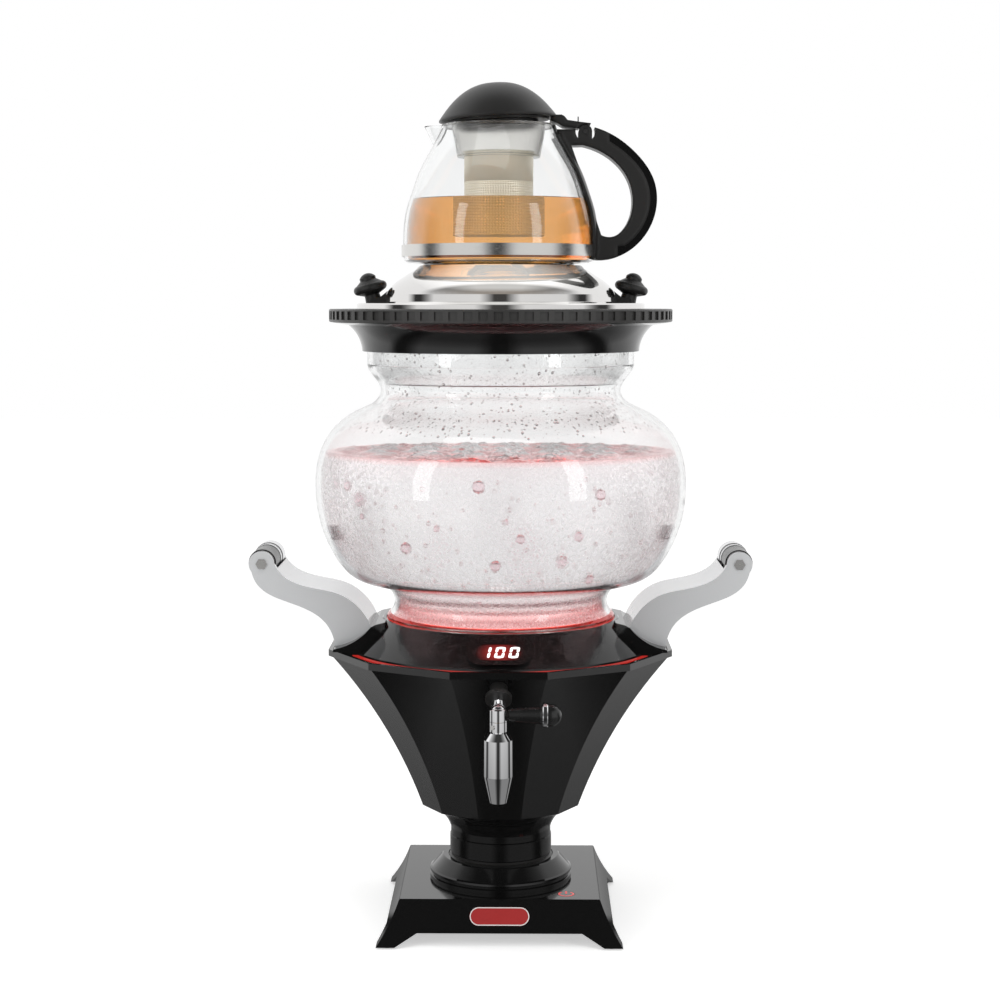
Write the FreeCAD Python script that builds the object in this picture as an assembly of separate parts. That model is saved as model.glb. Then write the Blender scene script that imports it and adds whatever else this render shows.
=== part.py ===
# Electric samovar: a glass vessel in a faceted bowl on a turning pedestal, with a glass teapot on its lid.
# Millimetres. The origin is on the floor under the middle of the column, +Z is up and the tap faces -Y.
import FreeCAD
import Part
import math
import os

Vector = FreeCAD.Vector
os.makedirs("parts", exist_ok=True)

# Clearances
running_gap = 0.05          # radial gap of a pin or shaft that turns in its hole
seat_gap = 0.25             # gap under a body that rests on another one
slip_gap = 0.4              # side gap of a body that lifts off or turns round another one
fit_gap = 0.2               # side gap of a fixed piece in its recess

# Base
base_width = 138.8          # square top of the base
base_set_back = 4.0         # middle of the base behind the axis of the column
base_top_z = 30.8
foot_spread = 168.8         # over the tips of the four legs
foot_height = 1.2           # rubber under a leg
base_wall = 3.2
apron_z = 9.7               # lower edge of the aprons
apron_half_width = 56.5     # straight part of an apron's lower edge
leg_width = 11.0            # tip of a leg, along each side
leg_bow = 1.6               # how far the side curves in between top and foot
cover_thickness = 2.4
tray_depth = 2.6            # how far the cover bulges below its rim
badge_width = 41.0
badge_height = 12.6
key_offset_x = 46.0         # touch key on the top plate
key_offset_y = -52.0
key_radius = 6.0
gland_height = 20.0
gland_radius = 7.0
gland_bore = 3.75

# Pedestal skirt and swivel
skirt_radius = 50.6
skirt_shoulder_radius = 41.4
skirt_top_z = 45.8
skirt_wall = 2.6
recess_radius = 37.4
recess_depth = 4.8
swivel_inner_radius = 29.0
swivel_top_z = 47.75
tower_radius = 11.0
tower_height = 13.0

# Column
foot_ring_radius = 36.2
foot_ring_height = 13.0
neck_radius = 35.6
neck_flare_radius = 53.5
column_wall = 3.0

# Faceted bowl
facet_count = 12
bowl_bottom_z = 84.0
bowl_bottom_apothem = 55.0
bowl_middle_z = 143.0
bowl_middle_apothem = 81.8
bowl_shoulder_z = 193.4
bowl_shoulder_apothem = 116.6
rim_apothem = 119.4
rim_low_z = 194.2
rim_top_z = 198.8
bowl_wall = 3.0

# Control deck
deck_low_radius = 107.0
deck_low_z = 198.2
deck_top_radius = 82.8
deck_top_z = 217.8
deck_wall = 2.6
deck_flange_radius = 113.0
deck_flange_z = 196.2       # top of the flange, the floor of the lit groove
seat_z = 215.2              # ledge that carries the glass foot
seat_radius = 81.0
seat_bore = 64.0
display_width = 44.0
display_height = 22.0
display_rise = 2.2
window_width = 35.0
window_height = 14.0
window_depth = 1.6

# Side handles
bolt_x = 165.8
bolt_z = 258.1
handle_width = 60.0
cheek_radius = 8.9
cheek_thickness = 5.2
grip_radius = 9.6
grip_ring_radius = 9.9
grip_cap_radius = 10.2
grip_core_radius = 8.2
bolt_radius = 2.5

# Glass vessel
vessel_wall = 3.6
vessel_foot_radius = 80.2
vessel_waist_radius = 75.2
vessel_radius = 130.3
vessel_throat_radius = 84.1
vessel_neck_radius = 93.4
vessel_foot_z = 217.0
vessel_middle_z = 312.0
vessel_throat_z = 377.0
vessel_top_z = 417.0

# Knurled collar
collar_low_z = 405.2
collar_low_radius = 96.8
ring_radius = 119.7
ring_low_z = 425.4
ring_top_z = 434.3
ring_inner_radius = 88.0
knurl_count = 76
knurl_pocket_width = 6.0
knurl_pocket_depth = 1.3
knurl_lip = 1.4

# Steel lid
lid_rim_radius = 100.4
lid_rim_height = 3.8
lid_steel = 1.4
dome_radius = 80.3
dome_foot_height = 6.2      # top of the upright part of the dome above the rim's bottom
pot_seat_radius = 55.0
pot_seat_z = 463.4
pot_seat_lip = 0.9
knob_offset = 88.4
knob_tilt = 15.0
knob_disc_radius = 11.8
knob_button_radius = 5.7
knob_neck_radius = 5.3
vent_count = 6
vent_radius = 2.5

# Tap
facet_point_y = -112.4      # where the shank leaves the front facet
facet_point_z = 187.0
shank_angle = 39.4          # below the horizontal, square to the facet
tap_axis_y = -134.0
nut_radius = 5.9
nut_length = 4.5
washer_radius = 8.8
washer_thickness = 3.0
shank_radius = 4.8
barrel_radius = 5.65
barrel_low_z = 163.2
lever_split_z = 169.6
lever_top_z = 177.4
lever_z = 173.9
lever_length = 41.0
lever_rod_radius = 4.1
lever_ring_radius = 8.1
lever_ball_radius = 7.3
plug_radius = 3.4
nozzle_radius = 9.35
nozzle_top_z = 162.4
nozzle_low_z = 133.8
nozzle_tip_z = 116.3
nozzle_tip_radius = 5.45
nozzle_bore = 3.8
hose_radius = 4.2
hose_bore = 2.8

# Teapot
pot_shift = -1.4            # the pot stands this far off the lid's axis
pot_wall = 2.4
pot_foot_radius = 52.4
pot_radius = 66.6
pot_widest_z = 484.0
pot_mouth_radius = 39.8
pot_mouth_z = 560.0
spout_reach = 51.6
spout_radius = 11.0
band_low_z = 470.4
band_height = 8.0
band_thickness = 0.8
strap_half_width = 17.5
strap_thickness = 2.4
grip_half_width = 10.5
spine_thickness = 4.6
hinge_x = 59.8
hinge_z = 556.0
hinge_pin_radius = 1.7
ear_radius = 4.6
valley_radius = 6.8
knuckle_half_width = 4.8
pot_lid_radius = 40.9
pot_lid_low_z = 564.6
pot_lid_height = 24.9
pot_lid_wall = 2.0
pot_lid_tilt = 2.7
pot_lid_axis_x = -0.5
infuser_flange = 1.1
holder_top_radius = 32.3
holder_low_radius = 28.7
holder_low_z = 538.6
holder_wall = 1.6
basket_radius = 24.0
basket_low_z = 483.5
basket_wall = 0.8

pieces = {}


def keep(name, *solids):
    """Store one sub-part, as one solid or as a group of separate solids."""
    pieces[name] = solids[0] if len(solids) == 1 else Part.Compound(list(solids))


def cylinder(radius, low, high, x=0.0, y=0.0):
    """Upright round bar between two heights."""
    return Part.makeCylinder(radius, high - low, Vector(x, y, low))


def tube(outer, inner, low, high, x=0.0, y=0.0):
    """Upright round tube between two heights."""
    return cylinder(outer, low, high, x, y).cut(cylinder(inner, low - 1, high + 1, x, y))


def cross_bar(radius, x, z, y_low, y_high):
    """Round bar along Y."""
    return Part.makeCylinder(radius, y_high - y_low, Vector(x, y_low, z), Vector(0, 1, 0))


def block(x_low, x_high, y_low, y_high, z_low, z_high):
    """Square block given by its six limits."""
    return Part.makeBox(x_high - x_low, y_high - y_low, z_high - z_low, Vector(x_low, y_low, z_low))


def edge_list(path, closed=True):
    """Edges of an XZ outline: points are straight runs, a nested list is a curve through its points."""
    edges = []
    pen = None
    start = None
    for item in path:
        curve = item if isinstance(item, list) else [item]
        points = [Vector(x, 0, z) for x, z in curve]
        if pen is None:
            pen = points[0]
            start = pen
            points = points[1:]
            if not points:
                continue
        if len(points) == 1:
            if pen.distanceToPoint(points[0]) > 1e-6:
                edges.append(Part.makeLine(pen, points[0]))
        elif len(points) == 2:
            edges.append(Part.Arc(pen, points[0], points[1]).toShape())
        else:
            spline = Part.BSplineCurve()
            spline.interpolate([pen] + points)
            edges.append(spline.toShape())
        pen = points[-1]
    if closed and pen.distanceToPoint(start) > 1e-6:
        edges.append(Part.makeLine(pen, start))
    return edges


def beside(points, distance):
    """Points of a curve moved square to it, to its left, by a distance."""
    curve = Part.BSplineCurve()
    curve.interpolate([Vector(x, 0, z) for x, z in points])
    moved = []
    for x, z in points:
        place = Vector(x, 0, z)
        tangent = curve.tangent(curve.parameter(place))[0]
        spot = place + Vector(-tangent.z, 0, tangent.x) * distance
        moved.append((spot.x, spot.z))
    return moved


def section(path):
    """Flat face in the XZ plane inside an outline."""
    return Part.Face(Part.Wire(edge_list(path)))


def turned(path, x=0.0):
    """Solid turned about the Z axis, or about an upright axis at x."""
    solid = section(path).revolve(Vector(0, 0, 0), Vector(0, 0, 1), 360)
    solid.translate(Vector(x, 0, 0))
    return solid


def slab(path, y_low, y_high):
    """Solid with an XZ outline and a thickness along Y."""
    face = section(path)
    face.translate(Vector(0, y_low, 0))
    return face.extrude(Vector(0, y_high - y_low, 0))


def mirrored(shape):
    """The same shape on the other side, across the YZ plane."""
    return shape.mirror(Vector(0, 0, 0), Vector(1, 0, 0))


def about_z(shape, degrees, x=0.0, y=0.0):
    """Copy turned about an upright axis."""
    copy = shape.copy()
    copy.rotate(Vector(x, y, 0), Vector(0, 0, 1), degrees)
    return copy


def flared_prism(path, sides, y=0.0):
    """Solid of many flat-sided faces: one mirrored outline, pushed across in each direction and intersected."""
    reach = 200.0
    solid = None
    for index in range(sides // 2):
        wall = about_z(slab(path, -reach, reach), index * 360.0 / sides)
        solid = wall if solid is None else solid.common(wall)
    solid.translate(Vector(0, y, 0))
    return solid


def flare_path(low, middle, high, extra=()):
    """Closed outline, the same left and right, whose sides bow through three points and go on straight."""
    flip = [(-x, z) for x, z in reversed(extra)]
    return [(-low[0], low[1]), low, [middle, high], *extra, *flip, (-high[0], high[1]),
            [(-middle[0], middle[1]), (-low[0], low[1])]]


def crown(radius, low, high):
    """Middle and end of the outline of a domed top whose centre is on the axis."""
    rise = high - low
    ball = (radius ** 2 + rise ** 2) / (2 * rise)
    half = math.asin(radius / ball) / 2
    return [(ball * math.sin(half), high - ball * (1 - math.cos(half))), (0, high)]


def pill(width, height, depth):
    """Slab with round ends: width along X, height along Z, from y = 0 back to y = depth."""
    end = height / 2
    run = width / 2 - end
    return slab([(-run, -end), (run, -end), [(run + end, 0), (run, end)], (-run, end),
                 [(-run - end, 0), (-run, -end)]], 0, depth)


def along_axis(shape, origin, direction):
    """Move a shape drawn up the Z axis onto a line that leaves origin in a direction."""
    copy = shape.copy()
    copy.Placement = FreeCAD.Placement(origin, FreeCAD.Rotation(Vector(0, 0, 1), direction))
    return copy


# Base
leg_reach = foot_spread / 2
half_base = base_width / 2
bow_z = (base_top_z + foot_height) / 2


def base_sides(inset, low, high):
    """The base's square flared form, set in by a wall, between two heights."""
    top = half_base - inset
    foot = leg_reach - inset
    middle = (top + foot) / 2 - leg_bow
    path = flare_path((foot, foot_height), (middle, bow_z), (top, base_top_z - 1.0), [(top - 0.8, base_top_z)])
    prism = flared_prism(path, 4, base_set_back)
    return prism.common(block(-200, 200, -200, 200, low, high))


def leg_gaps():
    """The two arches under the aprons, front to back and side to side."""
    tip = leg_reach - leg_width
    path = [(-tip, foot_height - 1), (tip, foot_height - 1), (apron_half_width, apron_z),
            (-apron_half_width, apron_z)]
    arch = slab(path, -leg_reach - 5, leg_reach + 5)
    both = arch.fuse(about_z(arch, 90))
    both.translate(Vector(0, base_set_back, 0))
    return both


cover_z = apron_z + 0.4
cover_top_z = cover_z + cover_thickness
shell_roof_z = base_top_z - base_wall
foot_offset = leg_reach - leg_width * 0.72
foot_radius = leg_width * 0.42
foot_plug_depth = 2.5
screw_offset = apron_half_width - 8
screw_boss_radius = 4.0
screw_radius = 1.4
screw_head_radius = 2.8
corner_signs = [(-1, -1), (1, -1), (1, 1), (-1, 1)]
badge_z = (base_top_z + apron_z) / 2
badge_y = base_set_back - half_base - 4.6
gland_y = base_set_back + half_base + 4.0

shell = base_sides(0, foot_height, base_top_z)
shell = shell.cut(base_sides(base_wall, foot_height, shell_roof_z)).cut(leg_gaps())
feet = []
screws = []
for sign_x, sign_y in corner_signs:
    foot_x = sign_x * foot_offset
    foot_y = base_set_back + sign_y * foot_offset
    pad_block = cylinder(leg_width * 0.5, foot_height, foot_height + foot_plug_depth + 2, foot_x, foot_y)
    shell = shell.fuse(pad_block.common(base_sides(0, foot_height, base_top_z)))
    shell = shell.cut(cylinder(foot_radius * 0.6, 0, foot_height + foot_plug_depth, foot_x, foot_y))
    foot = cylinder(foot_radius, 0, foot_height, foot_x, foot_y)
    feet.append(foot.fuse(cylinder(foot_radius * 0.6, 0, foot_height + foot_plug_depth, foot_x, foot_y)))
    screw_x = sign_x * screw_offset
    screw_y = base_set_back + sign_y * screw_offset
    boss = cylinder(screw_boss_radius, cover_top_z, shell_roof_z + 1, screw_x, screw_y)
    shell = shell.fuse(boss).cut(cylinder(screw_radius, cover_top_z - 1, shell_roof_z - 4, screw_x, screw_y))
    head = cylinder(screw_head_radius, cover_z - 1.2, cover_z, screw_x, screw_y)
    screws.append(head.fuse(cylinder(screw_radius, cover_z, shell_roof_z - 5, screw_x, screw_y)))
connector_hole = recess_radius - 9.0
shell = shell.cut(cylinder(connector_hole, shell_roof_z - 1, base_top_z + 1))
shell = shell.cut(cross_bar(gland_radius, 0, gland_height, base_set_back, base_set_back + leg_reach))
shell = shell.cut(cylinder(key_radius + fit_gap, base_top_z - 0.8, base_top_z + 1, key_offset_x, key_offset_y))
badge = pill(badge_width, badge_height, 2.4)
badge.rotate(Vector(0, 0, 0), Vector(1, 0, 0), -24)
badge.translate(Vector(0, badge_y, badge_z))
badge_pocket = base_sides(1.0, foot_height, base_top_z - 1)
badge = badge.cut(badge_pocket)
shell = shell.cut(badge)
keep("base_shell", shell)
keep("rubber_feet", *feet)
keep("base_screws", *screws)
keep("blank_badge", badge)

cover = base_sides(base_wall + slip_gap, cover_z, cover_top_z)
tray_half = apron_half_width + 0.5
tray = flared_prism([(-tray_half + 3, cover_z - tray_depth), (tray_half - 3, cover_z - tray_depth),
                     (tray_half, cover_z + 0.5), (-tray_half, cover_z + 0.5)], 4, base_set_back)
tray_inner = flared_prism([(-tray_half + 5, cover_z - tray_depth + 2), (tray_half - 5, cover_z - tray_depth + 2),
                           (tray_half - 2, cover_top_z + 1), (-tray_half + 2, cover_top_z + 1)], 4, base_set_back)
cover = cover.fuse(tray).cut(tray_inner)
for sign_x, sign_y in corner_signs:
    screw_x = sign_x * screw_offset
    screw_y = base_set_back + sign_y * screw_offset
    cover = cover.fuse(cylinder(screw_boss_radius, cover_z - 0.0, cover_top_z, screw_x, screw_y))
    cover = cover.cut(cylinder(screw_head_radius, cover_z - 6, cover_z, screw_x, screw_y))
    cover = cover.cut(cylinder(screw_radius, cover_z - 6, cover_top_z + 1, screw_x, screw_y))
keep("base_cover", cover)

key_disc = cylinder(key_radius, base_top_z - 0.8, base_top_z, key_offset_x, key_offset_y)
keep("power_key", key_disc)
board_top_z = shell_roof_z - 4
board_front = base_set_back - half_base + 8
board_back = base_set_back - screw_offset - screw_boss_radius - fit_gap
board = block(-52, 52, board_front, board_back, board_top_z - 1.6, board_top_z)
sensor_block = block(key_offset_x - 5, key_offset_x + 1, key_offset_y - 3, key_offset_y + 3, board_top_z, shell_roof_z)
board = board.fuse(sensor_block)
board = board.fuse(block(-30, -10, board_front + 2, board_back - 2, board_top_z - 7, board_top_z - 1.6))
keep("base_board", board)

gland = cross_bar(gland_radius, 0, gland_height, gland_y - 14, gland_y + 3.5)
gland = gland.cut(cross_bar(gland_bore, 0, gland_height, gland_y - 20, gland_y + 20))
keep("cord_gland", gland)

# Pedestal skirt and swivel
recess_z = skirt_top_z - recess_depth
skirt = turned([(skirt_radius, base_top_z), (skirt_radius, base_top_z + 1.4), (skirt_radius - 1.2, base_top_z + 2.0),
                (skirt_radius - 1.2, base_top_z + 3.6), (skirt_radius, base_top_z + 4.2),
                (skirt_radius - 0.2, base_top_z + 5.6), (skirt_radius - 1.6, base_top_z + 6.4),
                (skirt_shoulder_radius + 0.6, skirt_top_z - 0.7), (skirt_shoulder_radius - 0.3, skirt_top_z),
                (recess_radius, skirt_top_z), (recess_radius, recess_z), (connector_hole, recess_z),
                (connector_hole, recess_z - skirt_wall), (recess_radius + 1, recess_z - skirt_wall),
                (skirt_radius - 4.4, base_top_z + 4), (skirt_radius - 4.4, base_top_z)])
keep("pedestal_skirt", skirt)

connector_low_z = recess_z - skirt_wall - 2.4
tower_top_z = recess_z + tower_height
base_connector = turned([(0, connector_low_z), (connector_hole + 4, connector_low_z),
                         (connector_hole + 4, recess_z - skirt_wall), (connector_hole - fit_gap, recess_z - skirt_wall),
                         (connector_hole - fit_gap, recess_z), (20, recess_z), (20, recess_z + 2), (16, recess_z + 2),
                         (16, recess_z), (tower_radius, recess_z), (tower_radius, tower_top_z - 1),
                         (tower_radius - 1, tower_top_z), (0, tower_top_z)])
keep("base_connector", base_connector)

swivel_ring = turned([(swivel_inner_radius, recess_z + seat_gap), (recess_radius - slip_gap, recess_z + seat_gap),
                      (recess_radius - slip_gap, skirt_top_z - 0.3), (foot_ring_radius - 0.8, skirt_top_z + 0.4),
                      (foot_ring_radius - 0.8, swivel_top_z), (swivel_inner_radius, swivel_top_z)])
keep("swivel_ring", swivel_ring)

# Column
foot_ring_z = swivel_top_z + seat_gap
neck_z = foot_ring_z + foot_ring_height
socket_radius = tower_radius + slip_gap
foot_ring = turned([(24, foot_ring_z), (foot_ring_radius - 0.6, foot_ring_z), (foot_ring_radius, foot_ring_z + 0.6),
                    (foot_ring_radius, neck_z - 0.3), (foot_ring_radius - 0.4, neck_z), (foot_ring_radius - column_wall, neck_z),
                    (foot_ring_radius - column_wall, foot_ring_z + 2.5), (24, foot_ring_z + 2.5)])
keep("column_foot", foot_ring)
body_connector = turned([(socket_radius, foot_ring_z + 2.5), (foot_ring_radius - column_wall - fit_gap, foot_ring_z + 2.5),
                         (foot_ring_radius - column_wall - fit_gap, foot_ring_z + 6), (20, foot_ring_z + 10),
                         (0, foot_ring_z + 10), (0, tower_top_z + 1.2), (socket_radius, tower_top_z + 1.2)])
keep("body_connector", body_connector)
neck_straight = 5.0
flare_z = bowl_bottom_z - 0.6
neck = turned([(neck_radius - column_wall, neck_z), (neck_radius - 0.3, neck_z), (neck_radius, neck_z + 0.4),
               (neck_radius, neck_z + neck_straight),
               [(neck_radius + 3.2, neck_z + 12), (neck_flare_radius, flare_z)], (neck_flare_radius, bowl_bottom_z),
               (neck_radius - column_wall, bowl_bottom_z)])
keep("neck_column", neck)


# Faceted bowl
def bowl_form(inset, low, high):
    """The bowl's twelve-sided concave form, set in by a wall, between two heights."""
    path = flare_path((bowl_bottom_apothem - inset, bowl_bottom_z), (bowl_middle_apothem - inset, bowl_middle_z),
                      (bowl_shoulder_apothem - inset, bowl_shoulder_z),
                      [(rim_apothem - inset, rim_low_z), (rim_apothem - inset, rim_top_z)])
    return flared_prism(path, facet_count).common(block(-200, 200, -200, 200, low, high))


floor_z = bowl_bottom_z + bowl_wall
bowl = bowl_form(0, bowl_bottom_z, rim_top_z).cut(bowl_form(bowl_wall, floor_z, rim_top_z + 1))
bowl = bowl.cut(cylinder(neck_radius - column_wall - 4, bowl_bottom_z - 1, floor_z + 1))
post_height = 10.0
for sign_x, sign_y in corner_signs:
    bowl = bowl.fuse(cylinder(3, floor_z - 1, floor_z + post_height, sign_x * 32, sign_y * 22))

shank_slope = math.radians(shank_angle)
facet_point = Vector(0, facet_point_y, facet_point_z)
shank_line = Vector(0, -math.cos(shank_slope), -math.sin(shank_slope))
shank_depth = 4.0
shank_back = facet_point - shank_line * shank_depth
bowl = bowl.cut(along_axis(Part.makeCylinder(shank_radius + fit_gap, 20), facet_point - shank_line * 14, shank_line))
keep("faceted_bowl", bowl)

power_board = block(-38, 38, -28, 28, floor_z + post_height, floor_z + post_height + 1.6)
parts_on_board = [block(-30, -8, -20, 4, 0, 18), block(2, 14, -18, -2, 0, 14), block(20, 32, -10, 18, 0, 10)]
for item in parts_on_board:
    item.translate(Vector(0, 0, floor_z + post_height + 1.6))
    power_board = power_board.fuse(item)
keep("power_board", power_board)

# Control deck
flange_low_z = deck_flange_z - deck_wall
deck = turned([(deck_low_radius - 4, flange_low_z), (deck_flange_radius, flange_low_z),
               (deck_flange_radius, deck_flange_z), (deck_low_radius + 0.4, deck_flange_z),
               (deck_low_radius, deck_low_z), (deck_top_radius, deck_top_z), (seat_radius, deck_top_z),
               (seat_radius, seat_z), (seat_bore, seat_z), (seat_bore, seat_z - deck_wall),
               (seat_radius - 1, seat_z - deck_wall)])
slope = math.atan2(deck_top_z - deck_low_z, deck_low_radius - deck_top_radius)
boss_share = 0.56
boss_y = -(deck_top_radius + (deck_low_radius - deck_top_radius) * boss_share)
boss_z = deck_top_z - (deck_top_z - deck_low_z) * boss_share
boss_lean = math.degrees(slope) - 90


def on_slope(shape, depth):
    """Put a pill drawn in the XZ plane onto the deck's slope, its face this far above the surface."""
    copy = shape.copy()
    copy.translate(Vector(0, -depth, 0))
    copy.rotate(Vector(0, 0, 0), Vector(1, 0, 0), boss_lean)
    copy.translate(Vector(0, boss_y, boss_z))
    return copy


deck = deck.fuse(on_slope(pill(display_width, display_height, display_rise + 3.5), display_rise))
deck = deck.cut(on_slope(pill(window_width, window_height, 20), display_rise + 1))
window = on_slope(pill(window_width - 0.2, window_height - 0.2, window_depth), display_rise - 0.4)
display_board = on_slope(pill(window_width - 0.2, window_height - 0.2, 3.2), display_rise - 0.4 - window_depth)
keep("control_deck", deck)
keep("display_window", window)
keep("display_board", display_board)
groove_width = 3.6
light_ring = tube(deck_low_radius + 0.6 + groove_width, deck_low_radius + 0.6, deck_flange_z, deck_flange_z + 0.8)
keep("light_ring", light_ring)


# Saddles and side handles
root_outer = (115.1, 200.6)
root_middle = (101.3, 205.2)
root_inner = (90.0, 214.4)
saddle_half_width = 33.0
saddle_spread = 13.0
deck_envelope = turned([(0, flange_low_z), (deck_flange_radius, flange_low_z), (deck_flange_radius, deck_flange_z),
                        (deck_low_radius + 0.4, deck_flange_z), (deck_low_radius, deck_low_z),
                        (deck_top_radius, deck_top_z), (0, deck_top_z)])
saddle = slab([root_outer, (root_outer[0] + 0.6, deck_flange_z), (80, deck_flange_z), (80, deck_top_z),
               (root_inner[0] - 3.2, root_inner[1] + 1.8), root_inner, [root_middle, root_outer]], -60, 60)
tent = Part.Face(Part.makePolygon([Vector(0, -saddle_half_width - saddle_spread, deck_flange_z),
                                   Vector(0, -saddle_half_width, root_inner[1] + 4),
                                   Vector(0, saddle_half_width, root_inner[1] + 4),
                                   Vector(0, saddle_half_width + saddle_spread, deck_flange_z),
                                   Vector(0, -saddle_half_width - saddle_spread, deck_flange_z)]))
saddle = saddle.common(tent.extrude(Vector(200, 0, 0)))
saddle = saddle.common(bowl_form(bowl_wall + fit_gap, rim_low_z, rim_top_z)
                       .fuse(block(0, root_outer[0] + 1, -60, 60, rim_top_z, 230)))
saddle = saddle.cut(deck_envelope).cut(tube(deck_low_radius + 0.8 + groove_width, 60, deck_flange_z - 1, deck_flange_z + 0.9))
keep("saddles", saddle, mirrored(saddle))

tip_low = (bolt_x + cheek_radius * 0.79, bolt_z - cheek_radius * 0.62)
tip_end = (bolt_x + cheek_radius * 0.28, bolt_z + cheek_radius * 0.96)
tip_high = (bolt_x - cheek_radius, bolt_z)
lower_edge = [(165.2, 239.8), (147.6, 231.3), (130.0, 223.7), root_outer]
upper_edge = [(97.1, 226.2), (110.5, 236.4), (129.0, 241.1), (150.0, 249.1), tip_high]
half_handle = handle_width / 2
cheek_inner = half_handle - cheek_thickness
handle = slab([tip_low, lower_edge, [root_middle, root_inner], upper_edge, [tip_end, tip_low]],
              -half_handle, half_handle)
handle = handle.cut(cross_bar(grip_cap_radius + 0.9, bolt_x, bolt_z, -cheek_inner, cheek_inner))
handle = handle.cut(cross_bar(bolt_radius, bolt_x, bolt_z, -half_handle - 1, half_handle + 1))
keep("handle_right", handle)
keep("handle_left", mirrored(handle))

bolt_head = 0.9
hex_radius = 4.0
hexagon = Part.Face(Part.makePolygon([Vector(bolt_x + hex_radius * math.cos(math.radians(60 * i)), -half_handle,
                                             bolt_z + hex_radius * math.sin(math.radians(60 * i))) for i in range(7)]))
bolt = cross_bar(bolt_radius, bolt_x, bolt_z, -half_handle, half_handle)
bolt = bolt.fuse(hexagon.extrude(Vector(0, -bolt_head, 0)))
nut = hexagon.extrude(Vector(0, -bolt_head, 0))
nut.translate(Vector(0, handle_width + bolt_head, 0))
bolt = bolt.fuse(nut)
keep("handle_bolts", bolt, mirrored(bolt))

grip_end = cheek_inner - slip_gap
ring_start = 2.0
ring_width = 3.0
ring_gap = 0.6
cap_start = ring_start + 2 * ring_width + ring_gap + 2.4
grip = cross_bar(grip_radius, bolt_x, bolt_z, -grip_end, ring_start)
grip = grip.fuse(cross_bar(grip_core_radius, bolt_x, bolt_z, ring_start, grip_end - 1))
grip = grip.cut(cross_bar(bolt_radius + running_gap, bolt_x, bolt_z, -grip_end - 1, grip_end + 1))
grip_trim = []
trim_spans = [(ring_start, ring_width, grip_ring_radius), (ring_start + ring_width + ring_gap, ring_width, grip_ring_radius),
              (cap_start, grip_end - cap_start, grip_cap_radius)]
for start, width, radius in trim_spans:
    collar_piece = cross_bar(radius, bolt_x, bolt_z, start, start + width)
    grip_trim.append(collar_piece.cut(cross_bar(grip_core_radius, bolt_x, bolt_z, start - 1, grip_end - 1))
                     .cut(cross_bar(bolt_radius + slip_gap, bolt_x, bolt_z, -grip_end, grip_end + 1)))
keep("grip_right", grip)
keep("grip_left", mirrored(grip))
keep("grip_rings_right", *grip_trim)
keep("grip_rings_left", *[mirrored(item) for item in grip_trim])

# Glass vessel
def vessel_path(inset):
    """The vessel's side from foot to top, set in by a wall."""
    points = [(vessel_waist_radius + 3.0, 222.2), (vessel_waist_radius, 230.0), (81.2, 240.4), (101.5, 246.6),
              (117.6, 263.0), (127.2, 286.0), (vessel_radius, vessel_middle_z), (126.3, 336.8), (115.4, 353.7),
              (99.0, 364.6), (87.0, 371.4), (vessel_throat_radius, vessel_throat_z), (86.0, 383.4), (90.4, 389.2),
              (vessel_neck_radius, 395.5)]
    return beside(points, inset) if inset else points


outer_side = vessel_path(0)
inner_side = vessel_path(vessel_wall)
inner_foot_x = inner_side[0][0]
inner_neck_x = inner_side[-1][0]
vessel = turned([(inner_foot_x, vessel_foot_z), (vessel_foot_radius, vessel_foot_z),
                 (vessel_foot_radius, vessel_foot_z + 2.6), outer_side[0], outer_side[1:],
                 (vessel_neck_radius, vessel_top_z), (inner_neck_x, vessel_top_z), inner_side[-1],
                 list(reversed(inner_side[:-1]))])
keep("glass_vessel", vessel)

gasket_radius = vessel_foot_radius + 0.3
plate_radius = inner_foot_x - 0.4
plate_z = vessel_foot_z
gasket = turned([(seat_bore + 1, seat_z), (gasket_radius, seat_z), (gasket_radius, vessel_foot_z),
                 (seat_bore + 1, vessel_foot_z)])
keep("foot_gasket", gasket)
element_ring_radius = 42.0
element_radius = 4.0
sensor_radius = 6.0
outlet_y = -51.0
heating_plate = cylinder(plate_radius, plate_z, plate_z + 2.0)
element = Part.makeTorus(element_ring_radius, element_radius, Vector(0, 0, plate_z - element_radius + 0.6))
outlet_hole = cylinder(hose_bore, plate_z - 1, plate_z + 3, 0, outlet_y)
keep("heating_plate", heating_plate.fuse(element).cut(outlet_hole))
keep("temperature_sensor", cylinder(sensor_radius, plate_z - 11, plate_z).fuse(cylinder(sensor_radius + 4, plate_z - 1.2, plate_z)))
clamp_ring = turned([(seat_bore - 6, seat_z - deck_wall - 3), (seat_radius - 6, seat_z - deck_wall - 3),
                     (seat_radius - 6, seat_z - deck_wall), (seat_bore - 3, seat_z - deck_wall),
                     (seat_bore - 3, plate_z), (seat_bore - 6, plate_z)])
keep("clamp_ring", clamp_ring)

# Hose from the heating plate to the tap
hose_end_y = -deck_low_radius + 4.5
hose_points = [Vector(0, outlet_y, plate_z), Vector(0, outlet_y, shank_back.z), Vector(0, hose_end_y, shank_back.z)]


def bent_path(points, radius):
    """Straight runs joined by tangent arcs of one radius."""
    edges = []
    pen = points[0]
    for before, corner, after in zip(points, points[1:], points[2:]):
        inward = (before - corner).normalize()
        outward = (after - corner).normalize()
        half_turn = (math.pi - inward.getAngle(outward)) / 2
        cut_back = radius * math.tan(half_turn)
        arc_start = corner + inward * cut_back
        arc_end = corner + outward * cut_back
        middle = (inward + outward).normalize()
        arc_middle = corner + middle * (radius / math.cos(half_turn) - radius)
        edges.append(Part.makeLine(pen, arc_start))
        edges.append(Part.Arc(arc_start, arc_middle, arc_end).toShape())
        pen = arc_end
    edges.append(Part.makeLine(pen, points[-1]))
    return Part.Wire(edges)


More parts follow.
